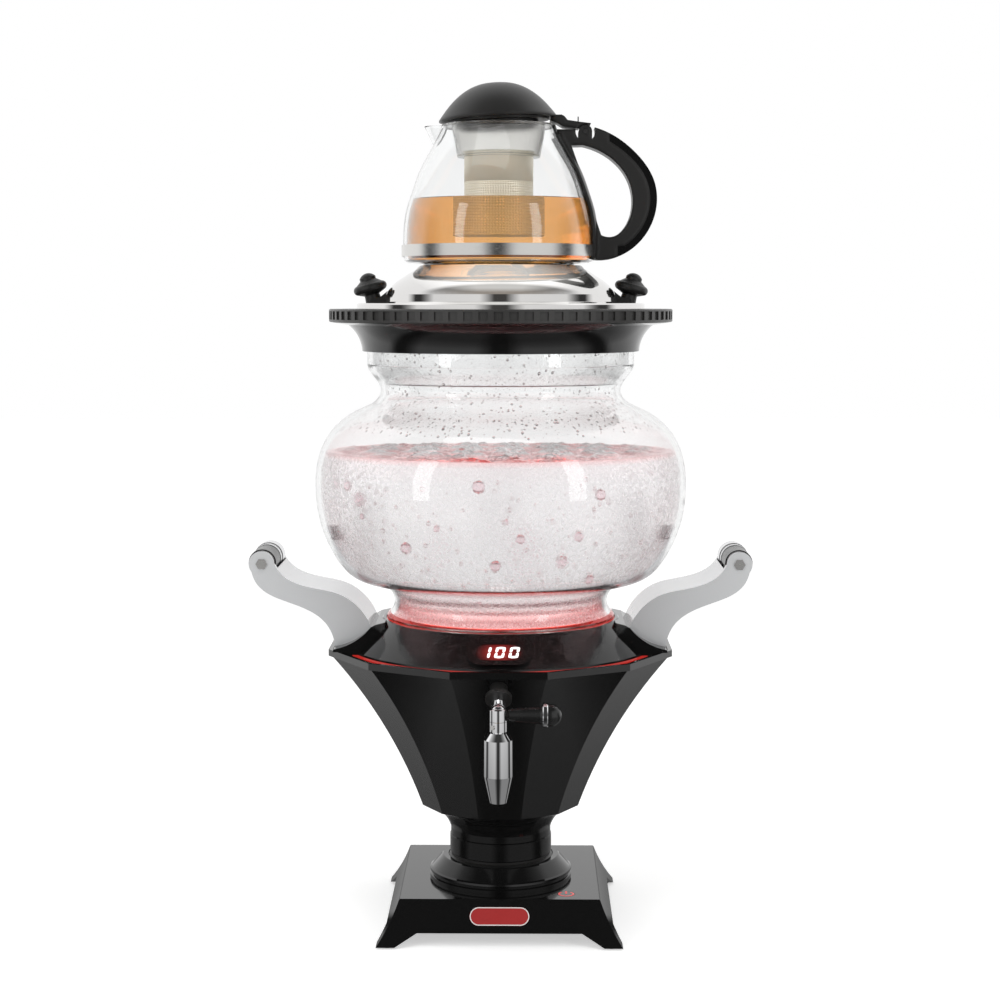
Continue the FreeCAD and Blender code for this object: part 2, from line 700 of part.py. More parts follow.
hose_path = bent_path(hose_points, 12.0)
hose_outer = hose_path.makePipeShell([Part.Wire(Part.makeCircle(hose_radius, hose_points[0], Vector(0, 0, -1)))], True, False)
hose_inner = hose_path.makePipeShell([Part.Wire(Part.makeCircle(hose_bore, hose_points[0], Vector(0, 0, -1)))], True, False)
keep("outlet_hose", hose_outer.cut(hose_inner))

# Tap
barrel_top = Vector(0, tap_axis_y, facet_point_z + (tap_axis_y - facet_point_y) * math.tan(shank_slope))
shank_length = facet_point.distanceToPoint(barrel_top)
tap_nut = Part.makeCylinder(nut_radius, nut_length + 1.0)
tap_nut = along_axis(tap_nut, facet_point - shank_line * 1.0, shank_line).cut(bowl_form(-0.02, bowl_bottom_z, rim_top_z))
bore_cut = along_axis(Part.makeCylinder(shank_radius, 60), shank_back, shank_line)
tap_nut = tap_nut.cut(bore_cut)
keep("tap_nut", tap_nut)
washer_start = 7.0
washer = Part.makeCylinder(washer_radius, washer_thickness).cut(Part.makeCylinder(shank_radius, washer_thickness))
keep("tap_washer", along_axis(washer, facet_point + shank_line * washer_start, shank_line))
shank = along_axis(Part.makeCylinder(shank_radius, shank_depth + shank_length), shank_back, shank_line)
barrel = cylinder(barrel_radius, barrel_low_z, lever_split_z, 0, tap_axis_y)
shank = shank.cut(block(-20, 20, tap_axis_y - 20, tap_axis_y + barrel_radius * 0.4, 100, 240))
shank = shank.cut(block(-20, 20, tap_axis_y - 20, tap_axis_y + barrel_radius + slip_gap, lever_split_z - 0.01, 240))
tap_body = barrel.fuse(shank)
tap_bore = 1.8
spigot = cross_bar(hose_bore, 0, shank_back.z, shank_back.y, hose_end_y + 5.5)
tap_body = tap_body.fuse(spigot.cut(cross_bar(tap_bore, 0, shank_back.z, shank_back.y, hose_end_y + 6)))
tap_body = tap_body.cut(along_axis(Part.makeCylinder(tap_bore, shank_depth + shank_length), shank_back, shank_line))
tap_body = tap_body.cut(cylinder(plug_radius + running_gap, barrel_low_z - 1, lever_split_z + 1, 0, tap_axis_y))
keep("tap_body", tap_body)
nozzle = turned([(nozzle_bore, nozzle_tip_z), (nozzle_tip_radius, nozzle_tip_z), (nozzle_radius, nozzle_low_z),
                 (nozzle_radius, nozzle_top_z - 4.6), (nozzle_radius - 3.4, nozzle_top_z),
                 (barrel_radius - 2.0, nozzle_top_z), (barrel_radius - 2.0, barrel_low_z), (nozzle_bore - 1, barrel_low_z),
                 (nozzle_bore - 1, nozzle_top_z - 1), (nozzle_bore, nozzle_top_z - 6)])
nozzle.translate(Vector(0, tap_axis_y, 0))
keep("tap_nozzle", nozzle)
grub_z = barrel_low_z + 3.4
grub = Part.makeCylinder(1.5, 2.0, Vector(0, tap_axis_y - barrel_radius + 0.7, grub_z), Vector(0, -1, 0))
grub.rotate(Vector(0, tap_axis_y, 0), Vector(0, 0, 1), -35)
grub_seat = grub.copy()
pieces["tap_body"] = pieces["tap_body"].cut(grub_seat)
keep("barrel_screw", grub)

lever_low_z = lever_split_z + seat_gap
hub = turned([(0, lever_low_z), (barrel_radius, lever_low_z), (barrel_radius, lever_top_z), (barrel_radius - 0.8, lever_top_z + 0.7),
              (4.35, lever_top_z + 0.8), crown(4.35, lever_top_z + 0.8, lever_top_z + 3.4)])
hub.translate(Vector(0, tap_axis_y, 0))
keep("lever_hub", hub)
rod_end = lever_length * 0.70
ring_end = rod_end + 3.4


def lever_form(path):
    """Solid turned about the lever's own axis, drawn as distance along the lever and radius."""
    flipped = [[(r, a) for a, r in item] if isinstance(item, list) else (item[1], item[0]) for item in path]
    solid = turned(flipped)
    return along_axis(solid, Vector(0, tap_axis_y, lever_z), Vector(1, 0, 0))


rod = lever_form([(0, 0), (0, 3.0), (barrel_radius + 1, 3.0), (barrel_radius + 1.6, lever_rod_radius),
                  (rod_end - 1.5, lever_ring_radius - 2.2), (rod_end, lever_ring_radius - 1.6), (rod_end, 2.0),
                  (lever_length - 4, 2.0), (lever_length - 4, 0)]).cut(hub)
keep("tap_lever", rod)
keep("lever_ring", lever_form([(rod_end, 2.0), (rod_end, lever_ring_radius - 0.5), (rod_end + 0.6, lever_ring_radius),
                               (ring_end - 0.6, lever_ring_radius), (ring_end, lever_ring_radius - 0.5), (ring_end, 2.0)]))
ball = lever_form([(ring_end, 0), (ring_end, lever_ball_radius), (ring_end + 1.5, lever_ball_radius),
                   [(z, r) for r, z in crown(lever_ball_radius, ring_end + 1.5, lever_length)]]).cut(rod)
keep("lever_ball", ball)
keep("valve_plug", cylinder(plug_radius, barrel_low_z + 0.3, lever_low_z, 0, tap_axis_y))

# Knurled collar
collar_top_z = ring_low_z
collar_ledge_z = vessel_top_z + 1.9
collar_bore = vessel_neck_radius + slip_gap
collar = turned([(collar_bore, collar_low_z), (collar_low_radius, collar_low_z),
                 [(99.4, 414.9), (106.4, 423.3)], (117.5, collar_top_z - 0.3), (117.5, collar_top_z),
                 (ring_inner_radius, collar_top_z), (ring_inner_radius, collar_ledge_z), (collar_bore, collar_ledge_z)])
keep("collar_body", collar)
pocket_z = ring_low_z + knurl_lip + 0.4
pocket_top = ring_top_z - knurl_lip
knurled = turned([(ring_inner_radius, ring_low_z), (ring_radius - 0.6, ring_low_z), (ring_radius, ring_low_z + 0.6),
                  (ring_radius, ring_top_z - 0.6), (ring_radius - 0.6, ring_top_z), (ring_inner_radius, ring_top_z)])
pocket = block(ring_radius - knurl_pocket_depth, ring_radius + 2, -knurl_pocket_width / 2, knurl_pocket_width / 2,
               pocket_z, pocket_top)
pockets = [about_z(pocket, index * 360.0 / knurl_count) for index in range(knurl_count)]
keep("knurled_ring", knurled.cut(Part.Compound(pockets)))
keep("collar_seal", tube(vessel_neck_radius - 0.2, inner_neck_x + 1, vessel_top_z + seat_gap, collar_ledge_z))

# Steel lid with its knobs
rim_z = ring_top_z + seat_gap
rim_edge_z = rim_z + lid_rim_height
shoulder_z = rim_edge_z + dome_foot_height - 0.2
dome_side = [(77.8, 448.3), (70.8, 454.5), (61.6, 460.4), (pot_seat_radius + 1.2, pot_seat_z + pot_seat_lip)]
dome_inner = [(x - lid_steel * 0.7, z - lid_steel) for x, z in dome_side[:-1]]
spigot_radius = ring_inner_radius - slip_gap
spigot_low_z = ring_low_z + 2.0
lid = turned([(0, pot_seat_z - lid_steel), (0, pot_seat_z), (pot_seat_radius, pot_seat_z),
              (pot_seat_radius, pot_seat_z + pot_seat_lip), dome_side[-1], list(reversed(dome_side[:-1])) + [(dome_radius, shoulder_z)],
              (dome_radius + 0.2, rim_edge_z + 1), (dome_radius + 1.4, rim_edge_z), (lid_rim_radius - 1, rim_edge_z),
              (lid_rim_radius, rim_edge_z - 1), (lid_rim_radius, rim_z), (spigot_radius, rim_z), (spigot_radius, spigot_low_z),
              (spigot_radius - lid_steel, spigot_low_z), (spigot_radius - lid_steel, rim_edge_z - lid_steel),
              (dome_radius - lid_steel, rim_edge_z - lid_steel), (dome_radius - lid_steel, shoulder_z - 0.5),
              dome_inner + [(pot_seat_radius - 2, pot_seat_z - lid_steel)]])
for index in range(vent_count):
    turn = math.radians(360.0 / vent_count * index)
    lid = lid.cut(cylinder(vent_radius, pot_seat_z - 5, pot_seat_z + 5, 22 * math.cos(turn), 22 * math.sin(turn)))
keep("steel_lid", lid)

knob = turned([(0, 0), (knob_neck_radius + 2.2, 0), (knob_neck_radius + 0.4, 3.0), (knob_neck_radius, 7.6),
               (knob_disc_radius - 2.4, 9.4), [(knob_disc_radius, 12.4), (knob_disc_radius - 2.6, 15.6)],
               (knob_button_radius + 0.8, 17.6), (knob_button_radius, 18.2), (knob_button_radius, 20.0),
               crown(knob_button_radius, 20.0, 23.0)])
knob.translate(Vector(0, 0, -1.6))
knob.rotate(Vector(0, 0, 0), Vector(0, 1, 0), knob_tilt)
knob.translate(Vector(knob_offset, 0, rim_edge_z))
fin = slab([(knob_offset + 3, rim_edge_z), (dome_radius - 4, rim_edge_z), (75.0, 449.6), (knob_offset - 4.5, rim_edge_z + 4.2),
            (knob_offset + 2, rim_edge_z + 3)], -7, 7)
knob = knob.fuse(fin).cut(block(0, 120, -30, 30, 400, rim_edge_z))
lid_envelope = turned([(0, 430), (dome_radius + 0.2, 430), (dome_radius + 0.2, rim_edge_z + 1), (dome_radius, shoulder_z),
                       dome_side, (0, dome_side[-1][1])])
knob = knob.cut(lid_envelope).cut(lid)
keep("lid_knobs", knob, mirrored(knob))

# Teapot
def pot_side(offset):
    """The pot's outer side from foot to mouth, moved out by an offset."""
    points = [(65.6, 467.6), (66.5, 474.0), (pot_radius, pot_widest_z), (64.6, 501.5), (60.9, 513.8), (54.8, 530.0),
              (45.8, 546.8), (pot_mouth_radius, pot_mouth_z)]
    return [(x + offset, z) for x, z in points]


pot_outer = pot_side(0)
pot_inner = pot_side(-pot_wall)
pot_floor_z = pot_seat_z + seat_gap + 3.2
pot_foot_z = pot_seat_z + seat_gap
pot_foot_inner = pot_foot_radius - 4


def pot_envelope(offset):
    """Solid form of the pot's outside, grown by an offset."""
    side = pot_side(offset)
    return turned([(0, pot_foot_z), side[0], side[1:], (0, pot_mouth_z)])


spout_low = Part.Wire(Part.makeCircle(spout_radius * 0.62, Vector(-spout_reach + 16.6, 0, 540), Vector(0, 0, 1)))
spout_high = Part.Wire(Part.makeCircle(spout_radius, Vector(-spout_reach + spout_radius, 0, pot_mouth_z), Vector(0, 0, 1)))
spout_inner_low = Part.Wire(Part.makeCircle(spout_radius * 0.62 - 1.6, Vector(-spout_reach + 17.2, 0, 540), Vector(0, 0, 1)))
spout_inner_high = Part.Wire(Part.makeCircle(spout_radius - 1.9, Vector(-spout_reach + spout_radius, 0, pot_mouth_z + 0.01), Vector(0, 0, 1)))
spout = Part.makeLoft([spout_low, spout_high], True, True)
spout_void = Part.makeLoft([spout_inner_low, spout_inner_high], True, True)
pot_solid = turned([(pot_foot_inner, pot_foot_z), (pot_foot_radius, pot_foot_z), (pot_foot_radius + 0.2, pot_foot_z + 1.6),
                    (62.6, pot_foot_z + 2.6), pot_outer[0], pot_outer[1:], (0, pot_mouth_z), (0, pot_foot_z + 1.2),
                    (pot_foot_inner - 1, pot_foot_z + 1.2)]).fuse(spout)
pot_void = turned([(0, pot_floor_z), (60.4, pot_floor_z + 0.4), pot_inner[0], pot_inner[1:], (pot_inner[-1][0], pot_mouth_z + 2),
                   (0, pot_mouth_z + 2)])
keep("teapot_glass", pot_solid.cut(pot_void).cut(spout_void))

band_inner = pot_radius + 0.3
band_top_z = band_low_z + band_height
band = tube(band_inner + band_thickness, band_inner, band_low_z, band_top_z)
keep("steel_band", band)

handle_outer = [(73.7, 556.0), (94.6, 541.3), (107.6, 521.5), (109.2, 506.0), (102.6, 486.9), (89.5, 473.8), (66.5, 468.2)]
handle_inner = [(66.1, 544.1), (77.6, 537.5), (88.9, 524.0), (92.6, 509.0), (88.6, 492.5), (80.4, 484.6), (71.0, 485.2)]
grip_form = slab([(38, 558.6), (56, 558.2), (66.5, 558.6), handle_outer, (50, 468.2), (40, 540)], -grip_half_width, grip_half_width)
loop = slab([(50.2, 546.4), (58.0, 546.6), handle_inner, (66.0, 500.0), (56.5, 529.0)], -40, 40)
strap = pot_envelope(strap_thickness).cut(pot_envelope(seat_gap))
strap = strap.common(block(20, 80, -strap_half_width, strap_half_width, 468.4, hinge_z - 2))
pot_handle = grip_form.cut(loop).fuse(strap)
core_side = beside(handle_outer[:-1], -spine_thickness)
core = slab([(40, 551), core_side[0], core_side[1:], (40, core_side[-1][1] - 1)], -grip_half_width, grip_half_width)
spine_ends = block(76.5, 120, -20, 20, 515, 560).fuse(block(82.5, 120, -20, 20, 460, 515))
spine = grip_form.cut(core).common(spine_ends)
pot_handle = pot_handle.cut(pot_envelope(seat_gap))
pot_handle = pot_handle.cut(tube(band_inner + band_thickness, band_inner - 2, band_low_z, band_top_z))
valley = cross_bar(valley_radius, hinge_x, hinge_z, -20, 20)
valley = valley.fuse(block(20, hinge_x, -20, 20, hinge_z + 1.4, hinge_z + 20))
pot_handle = pot_handle.cut(valley)
ear_width = grip_half_width - knuckle_half_width - fit_gap
ear = cross_bar(ear_radius, hinge_x, hinge_z, knuckle_half_width + fit_gap, grip_half_width)
ear = ear.fuse(block(hinge_x - ear_radius, hinge_x + ear_radius, knuckle_half_width + fit_gap, grip_half_width,
                     hinge_z - valley_radius - 1.5, hinge_z))
pot_handle = pot_handle.fuse(ear).fuse(ear.mirror(Vector(0, 0, 0), Vector(0, 1, 0)))
pot_handle = pot_handle.cut(cross_bar(hinge_pin_radius, hinge_x, hinge_z, -20, 20)).cut(spine)
keep("pot_handle", pot_handle)
keep("handle_spine", spine)
keep("hinge_pin", cross_bar(hinge_pin_radius, hinge_x, hinge_z, -grip_half_width - 0.3, grip_half_width + 0.3))

holder_flange_z = pot_mouth_z
holder = turned([(holder_top_radius - holder_wall, holder_flange_z + infuser_flange), (holder_top_radius - holder_wall, holder_flange_z - 3),
                 (holder_low_radius - holder_wall, holder_low_z), (holder_low_radius, holder_low_z),
                 (holder_top_radius, holder_flange_z - 3), (holder_top_radius, holder_flange_z),
                 (pot_mouth_radius - 0.4, holder_flange_z), (pot_mouth_radius - 0.4, holder_flange_z + infuser_flange)])
holder = holder.fuse(turned([(basket_radius, holder_low_z), (holder_low_radius, holder_low_z), (holder_low_radius, holder_low_z + 1.6),
                             (basket_radius, holder_low_z + 1.6)]))
keep("infuser_holder", holder)
basket_top_z = holder_low_z + 4
basket = cylinder(basket_radius, basket_low_z, basket_top_z)
basket = basket.cut(cylinder(basket_radius - basket_wall, basket_low_z + basket_wall, basket_top_z + 1))
basket = basket.fuse(tube(basket_radius + 2.0, basket_radius - basket_wall, holder_low_z + 1.6, holder_low_z + 2.4))
keep("infuser_basket", basket)

# Teapot lid
lid_top_z = pot_lid_low_z + pot_lid_height
pot_lid = turned([(pot_lid_radius - pot_lid_wall, pot_lid_low_z), (pot_lid_radius, pot_lid_low_z), (pot_lid_radius, pot_lid_low_z + 1.0),
                  [(36.2, pot_lid_low_z + 7.2), (28.4, pot_lid_low_z + 15.4), (18.0, pot_lid_low_z + 22.2), (0, lid_top_z)],
                  (0, lid_top_z - pot_lid_wall),
                  [(17.0, pot_lid_low_z + 20.0), (27.0, pot_lid_low_z + 13.4), (pot_lid_radius - pot_lid_wall - 4, pot_lid_low_z + 5.6),
                   (pot_lid_radius - pot_lid_wall, pot_lid_low_z)]], pot_lid_axis_x)
plug_ring_radius = 35.4
plug_depth = 6.0
pot_plug = turned([(0, pot_lid_low_z - 1.4), (0, pot_lid_low_z + 0.4), (plug_ring_radius + 3, pot_lid_low_z + 0.4),
                   (plug_ring_radius + 3, pot_lid_low_z), (plug_ring_radius, pot_lid_low_z), (plug_ring_radius, pot_lid_low_z - 1.4),
                   (28.2, pot_lid_low_z - 1.4), (28.0, pot_lid_low_z - plug_depth), (25.6, pot_lid_low_z - plug_depth),
                   (25.6, pot_lid_low_z - 1.4)], pot_lid_axis_x)
pot_plug = pot_plug.cut(pot_lid)
tilt_point = Vector(pot_lid_axis_x, 0, pot_lid_low_z)
for item in (pot_lid, pot_plug):
    item.rotate(tilt_point, Vector(0, 1, 0), -pot_lid_tilt)
arm = slab([(hinge_x - 24.5, hinge_z + 7.4), (hinge_x - 23.0, hinge_z + 11.4), (hinge_x - 16.3, hinge_z + 11.4),
            (hinge_x - 14.3, hinge_z + 10.3), (hinge_x - 12.3, hinge_z + 7.8), (hinge_x - 4.5, hinge_z + 6.6),
            (hinge_x + 3.8, hinge_z + 5.6), (hinge_x + 3.0, hinge_z + 4.1),
            [(hinge_x, hinge_z + 5.1), (hinge_x - 4.6, hinge_z + 2.2)], (hinge_x - 15.5, hinge_z + 3.4),
            (hinge_x - 20.2, hinge_z + 6.2)],
           -grip_half_width + 0.4, grip_half_width - 0.4)
knuckle = cross_bar(ear_radius - 0.2, hinge_x, hinge_z, -knuckle_half_width, knuckle_half_width)
knuckle = knuckle.fuse(block(hinge_x - ear_radius + 0.6, hinge_x + 1.6, -knuckle_half_width, knuckle_half_width, hinge_z, hinge_z + 5.4))
arm = arm.fuse(knuckle).cut(cross_bar(hinge_pin_radius + running_gap, hinge_x, hinge_z, -20, 20))
dome_solid = turned([(0, pot_lid_low_z + 1), (pot_lid_radius - 1, pot_lid_low_z + 1), (28.4, pot_lid_low_z + 15.4), (0, lid_top_z - 3)], pot_lid_axis_x)
dome_solid.rotate(tilt_point, Vector(0, 1, 0), -pot_lid_tilt)
tab_x = hinge_x - 4.9
tab = block(tab_x - 0.4, tab_x + 0.4, -5, 5, hinge_z + 4.6, hinge_z + 10.4)
arm = arm.cut(dome_solid).cut(tab)
pot_lid = pot_lid.fuse(arm).cut(pot_plug)
keep("pot_lid", pot_lid)
keep("lid_plug", pot_plug)
keep("thumb_tab", tab)

pot_nodes = ["teapot_glass", "steel_band", "pot_handle", "handle_spine", "hinge_pin", "infuser_holder", "infuser_basket",
             "pot_lid", "lid_plug", "thumb_tab"]
for name in pot_nodes:
    pieces[name].translate(Vector(pot_shift, 0, 0))

for name, shape in pieces.items():
    shape.exportStep("parts/" + name + ".step")
print(len(pieces), "sub-parts written")
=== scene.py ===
"""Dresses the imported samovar: finishes, liquids, bubbles, lit figures, light and camera."""
import logging
import math
from dataclasses import dataclass, field
from enum import Enum
from itertools import product
from typing import Callable, Dict, List, Optional, Sequence, Tuple

import bmesh
import bpy
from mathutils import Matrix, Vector
from mathutils.bvhtree import BVHTree


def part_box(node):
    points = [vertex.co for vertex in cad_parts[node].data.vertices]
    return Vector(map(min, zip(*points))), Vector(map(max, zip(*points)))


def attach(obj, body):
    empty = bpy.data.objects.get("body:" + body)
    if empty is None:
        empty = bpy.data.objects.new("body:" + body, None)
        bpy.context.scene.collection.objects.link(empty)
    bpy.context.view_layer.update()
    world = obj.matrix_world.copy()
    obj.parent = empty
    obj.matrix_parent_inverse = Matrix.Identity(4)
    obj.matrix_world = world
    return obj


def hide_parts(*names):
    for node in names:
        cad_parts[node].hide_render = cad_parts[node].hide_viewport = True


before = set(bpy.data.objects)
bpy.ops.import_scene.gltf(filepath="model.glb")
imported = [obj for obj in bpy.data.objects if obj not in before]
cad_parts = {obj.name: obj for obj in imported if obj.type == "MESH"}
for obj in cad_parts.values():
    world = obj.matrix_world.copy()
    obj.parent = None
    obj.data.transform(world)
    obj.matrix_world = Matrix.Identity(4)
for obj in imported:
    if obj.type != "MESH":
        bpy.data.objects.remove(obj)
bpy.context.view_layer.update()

LOG = logging.getLogger("samovar")
MM = 0.001
WHITE = (1.0, 1.0, 1.0)
GREY = (0.66, 0.66, 0.66)
Colour = Tuple[float, float, float]
Point = Tuple[float, float]
Stops = Sequence[Tuple[float, Colour]]
Piece = bpy.types.Object
Material = bpy.types.Material
Node = bpy.types.Node
Socket = bpy.types.NodeSocket


class Pattern(Enum):
    """What breaks up a finish: its fine surface texture."""

    POLISH = "smudges on a polished surface"
    GRAIN = "fine moulded grain"
    BRUSHED = "brushing round the vertical axis"
    LINEAR = "straight brushing"
    BUBBLES = "small bubbles"
    RIPPLE = "slow ripples"


@dataclass(frozen=True)
class Finish:
    """A material of one surface, with its colour, gloss and fine texture."""

    name: str
    colour: Colour
    roughness: float = 0.3
    spread: float = 0.1
    metallic: float = 0.0
    pattern: Pattern = Pattern.POLISH
    scale: float = 60.0
    bump: float = 0.02
    bump_depth: float = 0.0002
    mottle: float = 0.06
    coat: float = 0.0
    transmission: float = 0.0
    ior: float = 1.5
    glow: Optional[Colour] = None
    glow_strength: float = 0.0
    specular: float = 0.5
    edge: float = 0.0

    def build(self) -> Material:
        """Makes the material."""
        material = bpy.data.materials.new(self.name)
        material.use_nodes = True
        shader = material.node_tree.nodes["Principled BSDF"]
        shader.inputs["Base Color"].default_value = (*self.colour, 1)
        shader.inputs["Metallic"].default_value = self.metallic
        shader.inputs["Roughness"].default_value = self.roughness
        shader.inputs["IOR"].default_value = self.ior
        shader.inputs["Coat Weight"].default_value = self.coat
        shader.inputs["Coat Roughness"].default_value = 0.03
        shader.inputs["Transmission Weight"].default_value = self.transmission
        shader.inputs["Specular IOR Level"].default_value = self.specular
        if self.glow:
            shader.inputs["Emission Color"].default_value = (*self.glow, 1)
            shader.inputs["Emission Strength"].default_value = self.glow_strength
        self.texture(Shading(material))
        return material

    def texture(self, tree: "Shading") -> None:
        """Adds the fine texture to the colour, roughness and bump."""
        place = tree.place(self.stretch())
        if self.pattern is Pattern.BUBBLES:
            source = tree.add("ShaderNodeTexVoronoi", Scale=self.scale, Randomness=1.0)
            value = source.outputs["Distance"]
        else:
            source = tree.add("ShaderNodeTexNoise", Scale=self.scale, Detail=5.0, Roughness=0.6)
            value = source.outputs["Fac"]
        tree.link(place, source.inputs["Vector"])
        gloss = tree.add("ShaderNodeMapRange")
        tree.link(value, gloss.inputs["Value"])
        gloss.inputs["From Min"].default_value = 0.25
        gloss.inputs["From Max"].default_value = 0.75
        gloss.inputs["To Min"].default_value = max(0.0, self.roughness - self.spread)
        gloss.inputs["To Max"].default_value = min(1.0, self.roughness + self.spread)
        tree.drive("Roughness", gloss.outputs["Result"])
        patch = tree.add("ShaderNodeTexNoise", Scale=14.0, Detail=3.0)
        tree.link(tree.place((1, 1, 1)), patch.inputs["Vector"])
        darker = [c * (1 - self.mottle) for c in self.colour]
        lighter = [min(1, c * (1 + self.mottle)) for c in self.colour]
        tree.drive("Base Color", tree.blend(patch.outputs["Fac"], darker, lighter))
        bump = tree.add("ShaderNodeBump", Strength=self.bump, Distance=self.bump_depth)
        tree.link(value, bump.inputs["Height"])
        if self.edge:
            soft = tree.add("ShaderNodeBevel", Radius=self.edge)
            tree.link(soft.outputs["Normal"], bump.inputs["Normal"])
        tree.drive("Normal", bump.outputs["Normal"])

    def stretch(self) -> Tuple[float, float, float]:
        """How far the pattern is drawn out along each axis."""
        if self.pattern is Pattern.BRUSHED:
            return (1, 1, 14)
        if self.pattern is Pattern.LINEAR:
            return (14, 1, 14)
        if self.pattern is Pattern.RIPPLE:
            return (1, 1, 0.4)
        return (1, 1, 1)


class Shading:
    """Short calls for the nodes of one material or of the world."""

    def __init__(self, owner: bpy.types.ID) -> None:
        """Keeps the owner's tree and its main shader, where it has one."""
        self.tree = owner.node_tree
        self.shader = self.tree.nodes.get("Principled BSDF")

    def add(self, kind: str, data_type: str = "", operation: str = "", **values: float) -> Node:
        """Adds a node of this type, with its data type and operation, and numbers for its named inputs."""
        node = self.tree.nodes.new(kind)
        if data_type:
            node.data_type = data_type
        if operation:
            node.operation = operation
        for name, value in values.items():
            node.inputs[name].default_value = value
        return node

    def link(self, source: Socket, target: Socket) -> None:
        """Joins two sockets."""
        self.tree.links.new(source, target)

    def drive(self, name: str, source: Socket) -> None:
        """Joins a socket to the main shader's input of that name."""
        self.link(source, self.shader.inputs[name])

    def math(self, operation: str, *terms: object) -> Socket:
        """One sum of sockets or numbers."""
        node = self.add("ShaderNodeMath", operation=operation)
        for socket, term in zip(node.inputs, terms):
            if isinstance(term, Socket):
                self.link(term, socket)
            else:
                socket.default_value = term
        return node.outputs[0]

    def vector(self, operation: str, source: Socket) -> Node:
        """One sum on a direction."""
        node = self.add("ShaderNodeVectorMath", operation=operation)
        self.link(source, node.inputs[0])
        return node

    def blend(self, share: Socket, first: object, second: object) -> Socket:
        """Mixes two colours or their sockets, a share of the second."""
        node = self.add("ShaderNodeMix", data_type="RGBA")
        self.link(share, node.inputs[0])
        for index, value in ((6, first), (7, second)):
            if isinstance(value, Socket):
                self.link(value, node.inputs[index])
            else:
                node.inputs[index].default_value = (*value, 1)
        return node.outputs[2]

    def polish(self, share: Socket, roughness: float) -> None:
        """Keeps the finish's own roughness where the share is 1 and gives another where it is 0."""
        own = self.shader.inputs["Roughness"].links[0].from_socket
        pick = self.add("ShaderNodeMix", data_type="FLOAT")
        pick.inputs[2].default_value = roughness
        self.link(share, pick.inputs[0])
        self.link(own, pick.inputs[3])
        self.drive("Roughness", pick.outputs[0])

    def place(self, stretch: Tuple[float, float, float]) -> Socket:
        """Object coordinates, drawn out by a factor along each axis."""
        where = self.tree.nodes.new("ShaderNodeTexCoord")
        mapping = self.tree.nodes.new("ShaderNodeMapping")
        mapping.inputs["Scale"].default_value = stretch
        self.link(where.outputs["Object"], mapping.inputs["Vector"])
        return mapping.outputs["Vector"]

    def axis(self, name: str, kind: str = "Object") -> Socket:
        """One axis of the object coordinates or, with kind Normal, of the normal."""
        where = self.tree.nodes.new("ShaderNodeTexCoord")
        split = self.tree.nodes.new("ShaderNodeSeparateXYZ")
        self.link(where.outputs[kind], split.inputs[0])
        return split.outputs[name]

    def ramp(self, value: Socket, stops: Stops) -> Socket:
        """A colour ramp with these stops, driven by a value."""
        node = self.tree.nodes.new("ShaderNodeValToRGB")
        first, last = node.color_ramp.elements
        first.position, first.color = stops[0][0], (*stops[0][1], 1)
        last.position, last.color = stops[-1][0], (*stops[-1][1], 1)
        for position, colour in stops[1:-1]:
            element = node.color_ramp.elements.new(position)
            element.color = (*colour, 1)
        self.link(value, node.inputs["Fac"])
        return node.outputs["Color"]

    def span(self, value: Socket, low: float, high: float) -> Socket:
        """A number mapped so that low gives 0 and high gives 1."""
        node = self.add("ShaderNodeMapRange")
        node.inputs["From Min"].default_value = low
        node.inputs["From Max"].default_value = high
        self.link(value, node.inputs["Value"])
        return node.outputs["Result"]


GLOSS_BLACK = Finish("gloss_black", (0.006, 0.006, 0.006), 0.08, 0.03, scale=35, bump=0.03)
SATIN_BLACK = Finish("satin_black", (0.010, 0.010, 0.010), 0.26, 0.06, scale=120, bump=0.05,
                     pattern=Pattern.GRAIN)
MATTE_BLACK = Finish("matte_black", (0.014, 0.0136, 0.013), 0.40, 0.06, scale=1400, bump=0.15,
                     pattern=Pattern.GRAIN, bump_depth=0.00012)
SOFT_BLACK = Finish("soft_black", (0.015, 0.0145, 0.014), 0.38, 0.06, scale=1400, bump=0.12,
                    pattern=Pattern.GRAIN, bump_depth=0.00012, edge=0.004)
KNURL_BLACK = Finish("knurl_black", (0.032, 0.031, 0.030), 0.35, 0.06, scale=120, bump=0.05,
                     pattern=Pattern.GRAIN)
RUBBER = Finish("rubber", (0.018, 0.018, 0.018), 0.6, 0.1, scale=900, bump=0.2, pattern=Pattern.GRAIN)
CHROME = Finish("chrome", (0.86, 0.86, 0.87), 0.05, 0.02, metallic=1, scale=40, bump=0.01, mottle=0.02)
MIRROR_STEEL = Finish("mirror_steel", (0.76, 0.75, 0.74), 0.07, 0.03, metallic=1, scale=30, bump=0.02,
                      mottle=0.03)
BRUSHED_STEEL = Finish("brushed_steel", (0.70, 0.69, 0.67), 0.22, 0.07, metallic=1, scale=220, bump=0.05,
                       pattern=Pattern.BRUSHED, mottle=0.04)
SILVER_RING = Finish("silver_ring", (0.72, 0.72, 0.73), 0.18, 0.05, metallic=1, scale=300, bump=0.04,
                     pattern=Pattern.LINEAR)
BRASS = Finish("brass", (0.62, 0.45, 0.20), 0.2, 0.06, metallic=1, scale=90, bump=0.04)
CLEAR_GLASS = Finish("clear_glass", (0.985, 0.99, 0.99), 0.0, 0.01, transmission=1, ior=1.47, scale=9,
                     bump=0.015, pattern=Pattern.RIPPLE, mottle=0.004)
FROSTED = Finish("frosted_holder", (0.95, 0.94, 0.92), 0.22, 0.05, transmission=0.97, ior=1.4, scale=500,
                 bump=0.06, pattern=Pattern.GRAIN)
# The warm steel's emission is painted light that brightens the infuser inside the glass pot, where the lamps'
# direct light doesn't reach.
WARM_STEEL = Finish("warm_steel", (0.88, 0.83, 0.70), 0.40, 0.06, metallic=0.3, glow=(0.85, 0.78, 0.60),
                    glow_strength=0.22, scale=200, bump=0.03, pattern=Pattern.BRUSHED, mottle=0.04)
